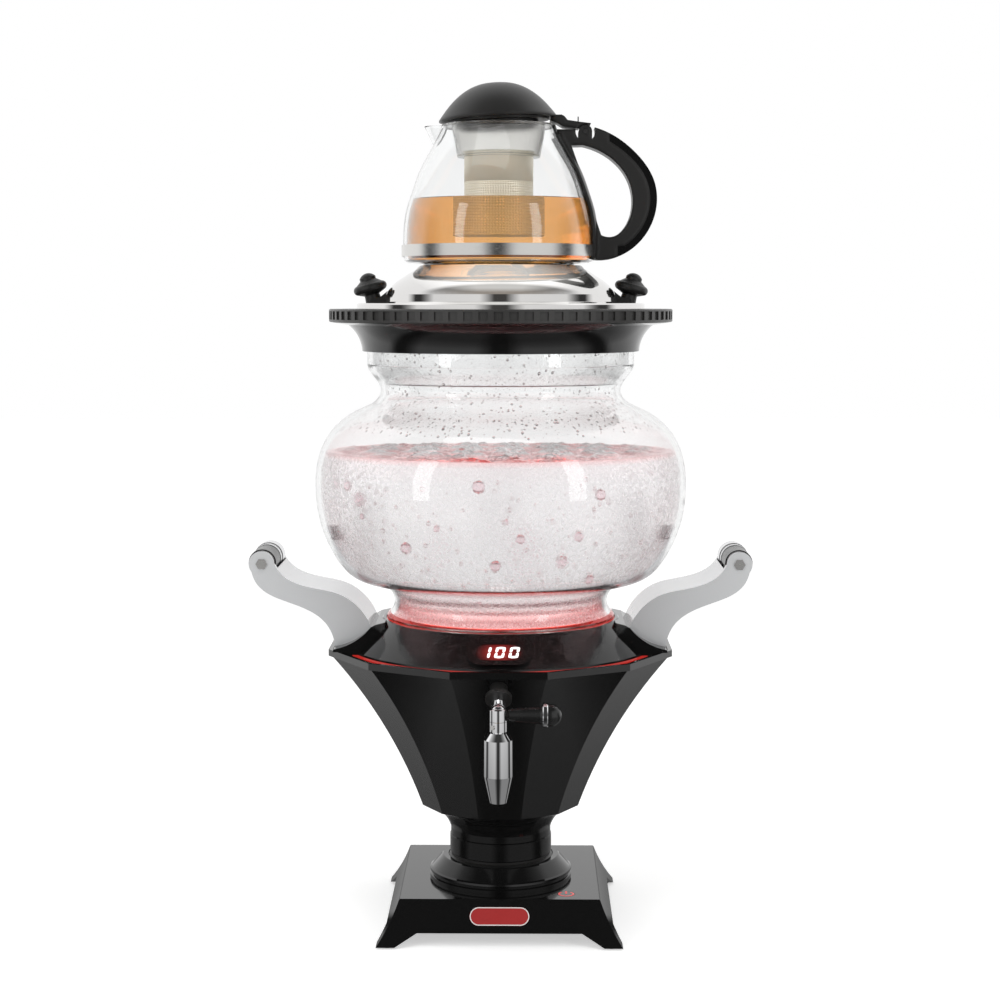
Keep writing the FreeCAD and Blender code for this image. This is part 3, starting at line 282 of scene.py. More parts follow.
STEAM_FILM = Finish("steam_film", (0.97, 0.97, 0.97), 0.10, 0.08, transmission=1, ior=1.33, scale=520,
                    pattern=Pattern.BUBBLES, bump=0.25, bump_depth=0.0004, mottle=0.02)
TEA = Finish("tea", (0.84, 0.42, 0.14), 0.0, 0.01, transmission=1, ior=1.33, specular=0.1, scale=8,
             bump=0.01, pattern=Pattern.RIPPLE, mottle=0.1)
BUBBLE = Finish("bubble", (1.0, 0.95, 0.96), 0.03, 0.02, transmission=1, ior=1.2, scale=50, bump=0.01)
PINK_BUBBLE = Finish("pink_bubble", (0.97, 0.80, 0.83), 0.05, 0.02, transmission=1, ior=1.13, scale=50,
                     bump=0.01)
DROPLET = Finish("droplet", (0.98, 0.98, 0.98), 0.02, 0.02, transmission=1, ior=1.33, scale=50, bump=0.01)
BOARD = Finish("circuit_board", (0.02, 0.09, 0.045), 0.35, 0.1, scale=80, bump=0.1)
SILICONE = Finish("silicone", (0.62, 0.60, 0.58), 0.45, 0.08, scale=400, bump=0.1, pattern=Pattern.GRAIN)
LIGHT_PIPE = Finish("light_pipe", (0.30, 0.012, 0.010), 0.15, 0.04, glow=(1.0, 0.05, 0.035),
                    glow_strength=0.35)
GLOW = Finish("glow_strip", (0.95, 0.15, 0.12), 0.2, 0.05, glow=(1.0, 0.10, 0.08), glow_strength=2.2)
BADGE_RED = Finish("badge_red", (0.42, 0.035, 0.035), 0.16, 0.05, coat=0.6, scale=60, bump=0.02,
                   mottle=0.12)
PALE_TRIM = Finish("pale_trim", (0.82, 0.82, 0.80), 0.2, 0.05, coat=0.3)
FIGURES = Finish("lit_figures", (0.9, 0.85, 0.85), 0.3, 0.05, glow=(1.0, 0.90, 0.88), glow_strength=1.6)
KEY_MARK = Finish("key_mark", (0.45, 0.03, 0.03), 0.3, 0.05, glow=(1.0, 0.06, 0.05), glow_strength=0.4)


def stand(name: str, data: bpy.types.ID) -> Piece:
    """Puts an object with this data into the scene."""
    item = bpy.data.objects.new(name, data)
    bpy.context.scene.collection.objects.link(item)
    return item


def ring_faces(rows: int, count: int, closed: bool = False) -> List[List[int]]:
    """The faces between rows of points, each row once round and, if closed, the last joined to the first."""
    faces = []
    for row in range(rows if closed else rows - 1):
        above = (row + 1) % rows
        for i in range(count):
            j = (i + 1) % count
            faces.append([row * count + i, row * count + j, above * count + j, above * count + i])
    return faces


def mesh_object(name: str, vertices: Sequence[Sequence[float]], faces: Sequence[Sequence[int]],
                smooth: bool = True) -> Piece:
    """Makes an object of a mesh, its points in metres and its faces turned outwards."""
    data = bpy.data.meshes.new(name)
    data.from_pydata([tuple(v) for v in vertices], [], [tuple(f) for f in faces])
    work = bmesh.new()
    work.from_mesh(data)
    bmesh.ops.remove_doubles(work, verts=work.verts, dist=1e-7)
    bmesh.ops.recalc_face_normals(work, faces=work.faces)
    work.to_mesh(data)
    work.free()
    for polygon in data.polygons:
        polygon.use_smooth = smooth
    return stand(name, data)


def lathe(name: str, profile: Sequence[Point], sides: int = 128, centre_x: float = 0.0) -> Piece:
    """Turns a profile round an upright axis into a closed body.

    Args:
        name: The piece's name.
        profile: Radius and height of each point in mm, from the axis and back to it.
        sides: How many steps the turn has.
        centre_x: Where the axis stands, in mm.
    """
    vertices: List[Tuple[float, float, float]] = []
    for radius, height in profile:
        for step in range(sides):
            turn = math.tau * step / sides
            x, y = centre_x + radius * math.cos(turn), radius * math.sin(turn)
            vertices.append((x * MM, y * MM, height * MM))
    return mesh_object(name, vertices, ring_faces(len(profile), sides))


def dress(item: Piece, material: Material) -> None:
    """Gives a piece one material."""
    item.data.materials.clear()
    item.data.materials.append(material)


class Library:
    """Keeps one material for each finish."""

    def __init__(self) -> None:
        """Starts with no material made."""
        self.made: Dict[str, Material] = {}

    def of(self, finish: Finish) -> Material:
        """The material of a finish, made once."""
        if finish.name not in self.made:
            self.made[finish.name] = finish.build()
        return self.made[finish.name]

    def special(self, name: str, maker: Callable[[], Material]) -> Material:
        """A material that its own function makes, kept by name."""
        if name not in self.made:
            self.made[name] = maker()
        return self.made[name]


LIBRARY = Library()


def dress_node(finish: Finish, *names: str) -> None:
    """Gives CAD nodes a finish."""
    for name in names:
        dress(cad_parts[name], LIBRARY.of(finish))
        LOG.info("%s: %s", name, finish.name)


def settle(item: Piece, body: str, finish: Optional[Finish] = None) -> Piece:
    """Dresses a new piece and lets it ride on its body.

    Args:
        item: The piece.
        body: The body's name.
        finish: Its finish, unless it is dressed already.
    """
    if finish:
        dress(item, LIBRARY.of(finish))
    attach(item, body)
    LOG.info("%s rides on %s", item.name, body)
    return item


@dataclass(frozen=True)
class FlatFace:
    """A drawing plane on the outer face of a CAD node."""

    centre: Vector
    across: Vector
    up: Vector
    out: Vector

    @classmethod
    def on(cls, node: str, out: Vector) -> "FlatFace":
        """Finds the plane of a CAD node's outermost face along an outward direction."""
        out = out.normalized()
        points = [v.co.copy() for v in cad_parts[node].data.vertices]
        reach = max(p.dot(out) for p in points)
        front = [p for p in points if reach - p.dot(out) < 0.05 * MM]
        across = Vector((1, 0, 0)) if abs(out.x) < 0.9 else Vector((0, 1, 0))
        up = out.cross(across).normalized()
        low = Vector([min(p[i] for p in front) for i in range(3)])
        high = Vector([max(p[i] for p in front) for i in range(3)])
        middle = (low + high) / 2
        return cls(middle + out * (reach - middle.dot(out)), across, up, out)

    def point(self, x: float, y: float, lift: float) -> Vector:
        """A point in the frame for a place on the plane, in mm."""
        return self.centre + self.across * (x * MM) + self.up * (y * MM) + self.out * (lift * MM)

    def plates(self, name: str, outlines: Sequence[Sequence[Point]], low: float, high: float) -> Piece:
        """Thin plates of these outlines, from a low to a high height above the plane, all in mm."""
        vertices: List[Vector] = []
        faces: List[List[int]] = []
        for outline in outlines:
            first, count = len(vertices), len(outline)
            vertices += [self.point(x, y, low) for x, y in outline]
            vertices += [self.point(x, y, high) for x, y in outline]
            faces.append(list(range(first, first + count)))
            faces.append(list(range(first + count, first + 2 * count)))
            for i in range(count):
                j = (i + 1) % count
                faces.append([first + i, first + j, first + count + j, first + count + i])
        return mesh_object(name, vertices, faces, smooth=False)

    def band(self, name: str, outer: Sequence[Point], inner: Sequence[Point], low: float,
             high: float) -> Piece:
        """A thin closed band between two outlines of equal length, with heights as for plates."""
        rows = [(outer, low), (outer, high), (inner, high), (inner, low)]
        vertices = [self.point(x, y, lift) for outline, lift in rows for x, y in outline]
        return mesh_object(name, vertices, ring_faces(len(rows), len(outer), closed=True), smooth=False)


def pill_outline(width: float, height: float, steps: int = 16) -> List[Point]:
    """The outline of a bar with round ends, in mm."""
    radius, shift = height / 2, width / 2 - height / 2
    right = [(shift + radius * math.cos(a), radius * math.sin(a))
             for a in (math.pi * (i / steps - 0.5) for i in range(steps + 1))]
    left = [(-x, -y) for x, y in right]
    return right + left


class NodeTool:
    """Builds one Geometry Nodes tree with named inputs and runs it into a plain mesh."""

    def __init__(self, name: str) -> None:
        """Starts an empty tree with a geometry input and output."""
        self.tree = bpy.data.node_groups.new(name, "GeometryNodeTree")
        self.tree.interface.new_socket("Geometry", in_out="INPUT", socket_type="NodeSocketGeometry")
        self.tree.interface.new_socket("Geometry", in_out="OUTPUT", socket_type="NodeSocketGeometry")
        self.start = self.tree.nodes.new("NodeGroupInput")
        self.end = self.tree.nodes.new("NodeGroupOutput")
        self.named: Dict[str, str] = {}

    def number(self, name: str, kind: str = "Float") -> None:
        """Adds a named input of kind Float, Int or Material."""
        socket = self.tree.interface.new_socket(name, in_out="INPUT", socket_type="NodeSocket" + kind)
        self.named[name] = socket.identifier

    def get(self, name: str) -> Socket:
        """The socket of a named input."""
        return self.start.outputs[name]

    def add(self, kind: str, links: Optional[Dict[str, object]] = None, **settings: object) -> Node:
        """Adds a node, with a socket or value for each input and settings for its own properties."""
        node = self.tree.nodes.new(kind)
        for key, value in settings.items():
            setattr(node, key, value)
        for key, value in (links or {}).items():
            socket = node.inputs[key]
            if isinstance(value, Socket):
                self.tree.links.new(value, socket)
            else:
                socket.default_value = value
        return node

    def math(self, operation: str, first: object, second: object = 0.0) -> Socket:
        """One sum of two sockets or numbers."""
        return self.add("ShaderNodeMath", {0: first, 1: second}, operation=operation).outputs[0]

    def close(self, geometry: Socket) -> None:
        """Ends the tree in Realize Instances and Set Material."""
        real = self.add("GeometryNodeRealizeInstances", {"Geometry": geometry})
        paint = self.add("GeometryNodeSetMaterial", {
            "Geometry": real.outputs[0], "Material": self.get("Material")})
        self.tree.links.new(paint.outputs[0], self.end.inputs[0])

    def run(self, name: str, source: Piece, values: Dict[str, object]) -> Piece:
        """Runs the tree on a source, which goes, and keeps the result as a new object's own mesh."""
        modifier = source.modifiers.new(name, "NODES")
        modifier.node_group = self.tree
        for key, value in values.items():
            modifier[self.named[key]] = value
        bpy.context.view_layer.update()
        graph = bpy.context.evaluated_depsgraph_get()
        data = bpy.data.meshes.new_from_object(source.evaluated_get(graph), depsgraph=graph)
        data.name = name
        source.modifiers.remove(modifier)
        item = stand(name, data)
        bpy.data.objects.remove(source)
        return item


def scatter_tool() -> NodeTool:
    """A tree that sets small round drops on or inside a surface.

    Returns:
        The tree, with inputs for density, size, depth, flatness, seed and material.
    """
    tool = NodeTool("drops on a surface")
    for name in ("Density", "Smallest", "Largest", "Deepest", "Flatness"):
        tool.number(name)
    tool.number("Seed", "Int")
    tool.number("Material", "Material")
    spread = tool.add("GeometryNodeDistributePointsOnFaces", {
        "Mesh": tool.get("Geometry"), "Density": tool.get("Density"), "Seed": tool.get("Seed")})
    depth = tool.add("FunctionNodeRandomValue", {
        2: 0.0, 3: tool.get("Deepest"), "Seed": 7}, data_type="FLOAT")
    inward = tool.math("MULTIPLY", depth.outputs[1], -1.0)
    offset = tool.add("ShaderNodeVectorMath", {
        0: spread.outputs["Normal"], "Scale": inward}, operation="SCALE")
    moved = tool.add("GeometryNodeSetPosition", {
        "Geometry": spread.outputs["Points"], "Offset": offset.outputs[0]})
    ball = tool.add("GeometryNodeMeshUVSphere", {"Segments": 8, "Rings": 6, "Radius": 1.0})
    smooth = tool.add("GeometryNodeSetShadeSmooth", {"Geometry": ball.outputs[0]})
    chance = tool.add("FunctionNodeRandomValue", {2: 0.0, 3: 1.0, "Seed": 11}, data_type="FLOAT")
    small = tool.math("POWER", chance.outputs[1], 3.0)
    span = tool.math("SUBTRACT", tool.get("Largest"), tool.get("Smallest"))
    size = tool.math("ADD", tool.math("MULTIPLY", small, span), tool.get("Smallest"))
    flat = tool.math("MULTIPLY", size, tool.get("Flatness"))
    scale = tool.add("ShaderNodeCombineXYZ", {0: size, 1: size, 2: flat})
    placed = tool.add("GeometryNodeInstanceOnPoints", {
        "Points": moved.outputs[0], "Instance": smooth.outputs[0], "Rotation": spread.outputs["Rotation"],
        "Scale": scale.outputs[0]})
    tool.close(placed.outputs[0])
    return tool


def mesh_tool() -> NodeTool:
    """A tree that punches a hole in every face of a sheet.

    Returns:
        The tree, with inputs for the hole's share of a cell and the material.
    """
    tool = NodeTool("perforated sheet")
    tool.number("Hole")
    tool.number("Material", "Material")
    inset = tool.add("GeometryNodeExtrudeMesh", {
        "Mesh": tool.get("Geometry"), "Offset Scale": 0.0, "Individual": True}, mode="FACES")
    shrunk = tool.add("GeometryNodeScaleElements", {
        "Geometry": inset.outputs["Mesh"], "Selection": inset.outputs["Top"], "Scale": tool.get("Hole")})
    open_cells = tool.add("GeometryNodeDeleteGeometry", {
        "Geometry": shrunk.outputs[0], "Selection": inset.outputs["Top"]}, domain="FACE")
    tool.close(open_cells.outputs[0])
    return tool


class Probe:
    """Measures the inside of a hollow CAD node."""

    def __init__(self, node: str) -> None:
        """Keeps a search tree of the node's mesh."""
        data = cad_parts[node].data
        self.tree = BVHTree.FromPolygons([v.co for v in data.vertices], [p.vertices for p in data.polygons])

    def radius(self, height: float, centre_x: float = 0.0) -> float:
        """The distance in mm from the axis to the inner wall at a height in mm, or 0 where there is none."""
        start = Vector((centre_x * MM, 0, height * MM))
        hit = self.tree.ray_cast(start, Vector((0.0, 1.0, 0.0)))
        return hit[3] / MM if hit[0] is not None else 0.0

    def floor(self, radius: float, height: float, centre_x: float = 0.0) -> float:
        """The height of the wall or floor under a point, in mm."""
        start = Vector((centre_x * MM, radius * MM, height * MM))
        hit = self.tree.ray_cast(start, Vector((0.0, 0.0, -1.0)))
        return hit[0].z / MM if hit[0] is not None else height


class Base:
    """The splayed base with its plain badge and touch key."""

    badge_lean: float = 24.0
    badge_size: Point = (41.0, 12.6)
    ring_inner: float = 4.3
    ring_outer: float = 5.6
    ring_gap: int = 38
    ring_steps: int = 28

    def dress(self) -> None:
        """Dresses the base and sets its trim."""
        dress_node(GLOSS_BLACK, "base_shell", "pedestal_skirt", "power_key")
        dress_node(RUBBER, "rubber_feet", "cord_gland")
        dress_node(BRUSHED_STEEL, "base_screws")
        dress_node(MATTE_BLACK, "base_cover", "base_connector", "swivel_ring")
        dress_node(BOARD, "base_board")
        dress_node(BADGE_RED, "blank_badge")
        self.badge_trim()
        self.key_mark()

    def badge_trim(self) -> None:
        """Lays the pale rim round the plain badge."""
        lean = math.radians(self.badge_lean)
        face = FlatFace.on("blank_badge", Vector((0, -math.cos(lean), math.sin(lean))))
        width, height = self.badge_size
        outer, inner = pill_outline(width - 0.2, height - 0.2), pill_outline(width - 1.5, height - 1.5)
        settle(face.band("badge_rim", outer, inner, -0.05, 0.15), "base", PALE_TRIM)

    def key_mark(self) -> None:
        """Draws the on and off mark on the touch key."""
        face = FlatFace.on("power_key", Vector((0, 0, 1)))
        inner, outer, gap, steps = self.ring_inner, self.ring_outer, self.ring_gap, self.ring_steps
        arc = [math.radians(90 + gap + i * (360 - 2 * gap) / steps) for i in range(steps + 1)]
        strips: List[List[Point]] = []
        for first, second in zip(arc, arc[1:]):
            strips.append([(r * math.cos(a), r * math.sin(a)) for r, a in
                           ((inner, first), (outer, first), (outer, second), (inner, second))])
        strips.append([(-0.7, 0.4), (0.7, 0.4), (0.7, 6.2), (-0.7, 6.2)])
        settle(face.plates("power_mark", strips, 0.02, 0.08), "base", KEY_MARK)


@dataclass
class Body:
    """The faceted bowl with its deck, handles and tap."""

    deck_slope: float = 39.0
    figure_height: float = 9.6
    figure_width: float = 6.4
    figure_pitch: float = 9.4
    stroke: float = 1.7
    slant: float = 0.17
    figures: str = "100"
    figure_shift: float = 0.7
    painted_halo_reach: Tuple[float, float, float] = (0.0155, 0.012, 0.010)
    painted_halo_strength: float = 0.6
    edge_roughness: float = 0.06

    def dress(self) -> None:
        """Dresses the body and lights its display."""
        dress_node(GLOSS_BLACK, "column_foot", "neck_column", "faceted_bowl", "control_deck", "saddles")
        dress_node(MATTE_BLACK, "body_connector", "tap_nut", "tap_washer", "clamp_ring")
        dress_node(BOARD, "power_board", "display_board")
        # The light ring is the lit part; the foot gasket shares its emission as painted red glow from the
        # ring.
        dress_node(LIGHT_PIPE, "light_ring", "foot_gasket")
        dress_node(BRUSHED_STEEL, "heating_plate", "temperature_sensor", "handle_bolts", "barrel_screw")
        dress_node(SILICONE, "outlet_hose")
        dress_node(CHROME, "tap_body", "tap_nozzle", "lever_hub", "lever_ring")
        dress_node(SATIN_BLACK, "tap_lever", "lever_ball", "grip_right", "grip_left")
        dress_node(SILVER_RING, "grip_rings_right", "grip_rings_left")
        dress_node(BRASS, "valve_plug")
        self.dress_handles()
        self.dress_display()

    def dress_handles(self) -> None:
        """Gives the handles satin cheeks and mirror edges."""
        for name in ("handle_right", "handle_left"):
            dress(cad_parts[name], LIBRARY.special("handle_metal", self.handle_metal))

    def handle_metal(self) -> Material:
        """Makes the handles' metal, satin where it faces front or back and polished elsewhere."""
        material = Finish("handle_metal", (0.80, 0.81, 0.82), 0.32, 0.05, metallic=0.45, scale=160,
                          pattern=Pattern.LINEAR, bump=0.04, mottle=0.03).build()
        tree = Shading(material)
        facing = tree.math("ABSOLUTE", tree.axis("Y", "Normal"))
        tree.polish(tree.span(facing, 0.55, 0.8), self.edge_roughness)
        return material

    def dress_display(self) -> None:
        """Dresses the window and lights plain figures on its face."""
        dress(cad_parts["display_window"], LIBRARY.special("display_window", self.window_material))
        slope = math.radians(self.deck_slope)
        face = FlatFace.on("display_window", Vector((0, -math.sin(slope), math.cos(slope))))
        outlines: List[List[Point]] = []
        middle = (len(self.figures) - 1) / 2
        for place, figure in enumerate(self.figures):
            outlines += self.figure(figure, (place - middle) * self.figure_pitch + self.figure_shift)
        settle(face.plates("display_figures", outlines, 0.03, 0.12), "body", FIGURES)

    def figure(self, figure: str, centre: float) -> List[List[Point]]:
        """The strokes of one plain seven-stroke figure.

        Args:
            figure: The figure, 0 or 1.
            centre: Its middle across the window in mm.

        Returns:
            The outline of each stroke.
        """
        half_w, half_h, s = self.figure_width / 2, self.figure_height / 2, self.stroke
        gap = 0.12
        side = half_w - s / 2
        sides = (side,) if figure == "1" else (side, -side)
        halves = ((gap, half_h - gap), (-half_h + gap, -gap))
        strokes = []
        for x, (low, high) in product(sides, halves):
            strokes.append([(x, low), (x + s / 2, low + s / 2), (x + s / 2, high - s / 2), (x, high),
                            (x - s / 2, high - s / 2), (x - s / 2, low + s / 2)])
        if figure == "0":
            for y in (half_h - s / 2, -half_h + s / 2):
                left, right = -half_w + gap + s / 2, half_w - gap - s / 2
                strokes.append([(left, y), (left + s / 2, y + s / 2), (right - s / 2, y + s / 2), (right, y),
                                (right - s / 2, y - s / 2), (left + s / 2, y - s / 2)])
        return [[(centre + x + y * self.slant, y) for x, y in stroke] for stroke in strokes]

    def window_material(self) -> Material:
        """Makes the dark window with a faint painted red halo round the figures: red emission on the window
        for the figures' spreading light.
        """
        material = Finish("display_window", (0.012, 0.006, 0.006), 0.08, 0.02, coat=0.4).build()
        tree = Shading(material)
        where = tree.add("ShaderNodeTexCoord")
        mapping = tree.add("ShaderNodeMapping")
        low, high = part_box("display_window")
        middle = (low + high) / 2
        reach = Vector(self.painted_halo_reach)
        mapping.inputs["Location"].default_value = [-middle[i] / reach[i] for i in range(3)]
        mapping.inputs["Scale"].default_value = [1 / r for r in reach]
        tree.link(where.outputs["Object"], mapping.inputs["Vector"])
        length = tree.vector("LENGTH", mapping.outputs["Vector"])
        # Painted glow: red emission that fades out from the window's middle.
        stops = [(0.3, (0.55, 0.03, 0.025)), (0.75, (0.14, 0.006, 0.005)), (1.0, (0, 0, 0))]
        tree.drive("Emission Color", tree.ramp(length.outputs["Value"], stops))
        tree.shader.inputs["Emission Strength"].default_value = self.painted_halo_strength
        return material


@dataclass
class Vessel:
    """The glass vessel with its boiling water."""

    low_z: float = 219.6
    water_z: float = 336.0
    gap: float = 0.25
    wave: float = 1.9
    surface_roughness: float = 0.03
    strip_width: float = 2.2
    strip_height: float = 0.5
    neck_z: float = 384.0
    neck_steps: int = 29
    drop_sizes: Tuple[float, float] = (0.00028, 0.0011)
    drop_density: float = 46000.0
    probe: Probe = field(default_factory=lambda: Probe("glass_vessel"))

    def dress(self) -> None:
        """Dresses the glass and fills it."""
        dress_node(CLEAR_GLASS, "glass_vessel")
        water = self.water()
        self.bubbles()
        self.droplets()
        self.steam_film()
        self.glow()
        settle(water, "body")

    def wall(self, low: float, high: float, steps: int) -> List[Point]:
        """The inner wall from one height to another, as radius and height in mm."""
        heights = [low + (high - low) * i / steps for i in range(steps + 1)]
        return [(self.probe.radius(z) - self.gap, z) for z in heights]

    def water(self) -> Piece:
        """Makes the water with its stirred surface."""
        wall = self.wall(self.low_z, self.water_z, 60)
        edge = wall[-1][0]
        rings = [(edge * (1 - i / 40), self.water_z) for i in range(1, 40)]
        item = lathe("boiling_water", [(0.01, self.low_z)] + wall + rings + [(0.01, self.water_z)], 160)
        for vertex in item.data.vertices:
            if vertex.co.z > (self.water_z - 0.01) * MM:
                radius = math.hypot(vertex.co.x, vertex.co.y) / MM
                calm = max(0.0, 1 - (radius / edge) ** 6)
                x, y = vertex.co.x / MM, vertex.co.y / MM
                lift = math.sin(x * 0.21 + 1.3 * math.sin(y * 0.13)) + 0.7 * math.sin(y * 0.33 + x * 0.09)
                lift += 0.5 * math.sin(x * 0.55 - y * 0.41)
                vertex.co.z += calm * lift * self.wave * MM
        dress(item, LIBRARY.special("boiling_water", self.water_material))
        return item

    def water_material(self) -> Material:
        """Makes the water, milky with small bubbles, with painted red glow near its foot and its surface and
        a faint painted brightening between.
        """
        material = Finish("boiling_water", (0.97, 0.95, 0.95), 0.24, 0.12, transmission=0.93, ior=1.33,
                          scale=420, pattern=Pattern.BUBBLES, bump=0.42, bump_depth=0.0005,
                          mottle=0.01).build()
        tree = Shading(material)
        height = tree.span(tree.axis("Z"), self.low_z * MM, (self.water_z + 2) * MM)
        # Painted red glow: the base colour turns pink near the foot and in a band at the surface, for the red
        # light ring's light in the water.
        tree.drive("Base Color", tree.ramp(height, [
            (0.0, (0.98, 0.74, 0.73)), (0.10, (0.96, 0.85, 0.85)), (0.22, (0.945, 0.94, 0.945)),
            (0.85, (0.945, 0.935, 0.94)), (0.95, (0.97, 0.88, 0.89)), (0.985, (0.98, 0.60, 0.60)),
            (1.0, (0.97, 0.94, 0.94))]))
        # Painted glow: red emission near the foot and surface, and a faint grey emission between that
        # brightens the milky water.
        tree.drive("Emission Color", tree.ramp(height, [
            (0.0, (0.15, 0.012, 0.012)), (0.10, (0.05, 0.008, 0.008)), (0.2, (0.03, 0.029, 0.03)),
            (0.95, (0.04, 0.03, 0.032)), (0.985, (0.12, 0.02, 0.02)), (1.0, (0.0, 0.0, 0.0))]))
        tree.shader.inputs["Emission Strength"].default_value = 1.0
        tree.polish(tree.span(tree.axis("Z", "Normal"), 0.85, 0.6), self.surface_roughness)
        return material

    def bubbles(self) -> None:
        """Sets rising bubbles in the water."""
        tool = scatter_tool()
        for name, density, sizes, deep, seed, finish in (
                ("water_bubbles", 9000.0, (0.0006, 0.0017), 0.020, 3, BUBBLE),
                ("pink_bubbles", 420.0, (0.0018, 0.0048), 0.030, 9, PINK_BUBBLE)):
            wall = [(r - 6.0, z) for r, z in self.wall(self.low_z + 10, self.water_z - 12, 24)]
            source = lathe(name + "_bed", wall, 48)
            item = tool.run(name, source, {
                "Density": density, "Smallest": sizes[0], "Largest": sizes[1], "Deepest": deep,
                "Flatness": 1.0, "Seed": seed, "Material": LIBRARY.of(finish)})
            settle(item, "body")

    def droplets(self) -> None:
        """Sets condensed drops on the inside of the neck and shoulder."""
        tool = scatter_tool()
        top = self.neck_z + self.neck_steps - 1
        neck = [(r + 0.2, z) for r, z in self.wall(self.water_z + 14, top, 40)]
        item = tool.run("neck_droplets", lathe("neck_droplets_bed", neck, 64), {
            "Density": self.drop_density, "Smallest": self.drop_sizes[0], "Largest": self.drop_sizes[1],
            "Deepest": 0.0001, "Flatness": 0.4, "Seed": 5, "Material": LIBRARY.of(DROPLET)})
        settle(item, "body")

    def steam_film(self) -> None:
        """Coats the inside of the neck with condensed steam."""
        outer = [(self.probe.radius(z) - 0.15, z) for z in [self.neck_z + i for i in range(self.neck_steps)]]
        inner = [(r - 0.35, z) for r, z in reversed(outer)]
        film = lathe("neck_steam", outer + inner + [outer[0]], 128)
        settle(film, "body", STEAM_FILM)

    def glow(self) -> None:
        """Lays the red lit strip round the vessel's foot."""
        low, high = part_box("heating_plate")
        top = high.z / MM
        outer = self.probe.radius(top + 1.2) - 0.5
        inner, low_z, high_z = outer - self.strip_width, top + 0.05, top + self.strip_height
        profile = [(inner, low_z), (outer, low_z), (outer, high_z), (inner, high_z), (inner, low_z)]
        settle(lathe("foot_glow", profile, 128), "body", GLOW)


class Collar:
    """The knurled collar over the vessel's neck and the steel lid."""

    def dress(self) -> None:
        """Dresses the collar and the lid."""
        dress_node(GLOSS_BLACK, "collar_body")
        dress_node(KNURL_BLACK, "knurled_ring")
        dress_node(SILICONE, "collar_seal")
        dress(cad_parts["steel_lid"], LIBRARY.special("lid_steel_painted_reflection", self.lid_steel_painted_reflection))
        dress_node(MATTE_BLACK, "lid_knobs")

    def lid_steel_painted_reflection(self) -> Material:
        """Makes the lid's steel with a painted reflection: emission that lightens the front of its dome where
        it looks up and forward.
        """
        material = MIRROR_STEEL.build()
        tree = Shading(material)
        # Painted reflection: emission set by the normal, lighter on the dome's front where it faces up,
        # strongest in the middle.
        tree.drive("Emission Color", tree.ramp(tree.axis("Z", "Normal"), [
            (0.25, (0.02, 0.018, 0.016)), (0.5, (0.26, 0.23, 0.20)), (0.64, (0.56, 0.55, 0.53)),
            (0.86, (0.50, 0.49, 0.47)), (0.95, (0, 0, 0))]))
        middle = tree.span(tree.math("ABSOLUTE", tree.axis("X", "Normal")), 0.50, 0.15)
        front = tree.span(tree.axis("Y", "Normal"), -0.1, -0.4)
        tree.drive("Emission Strength", tree.math("MULTIPLY", middle, front))
        return material


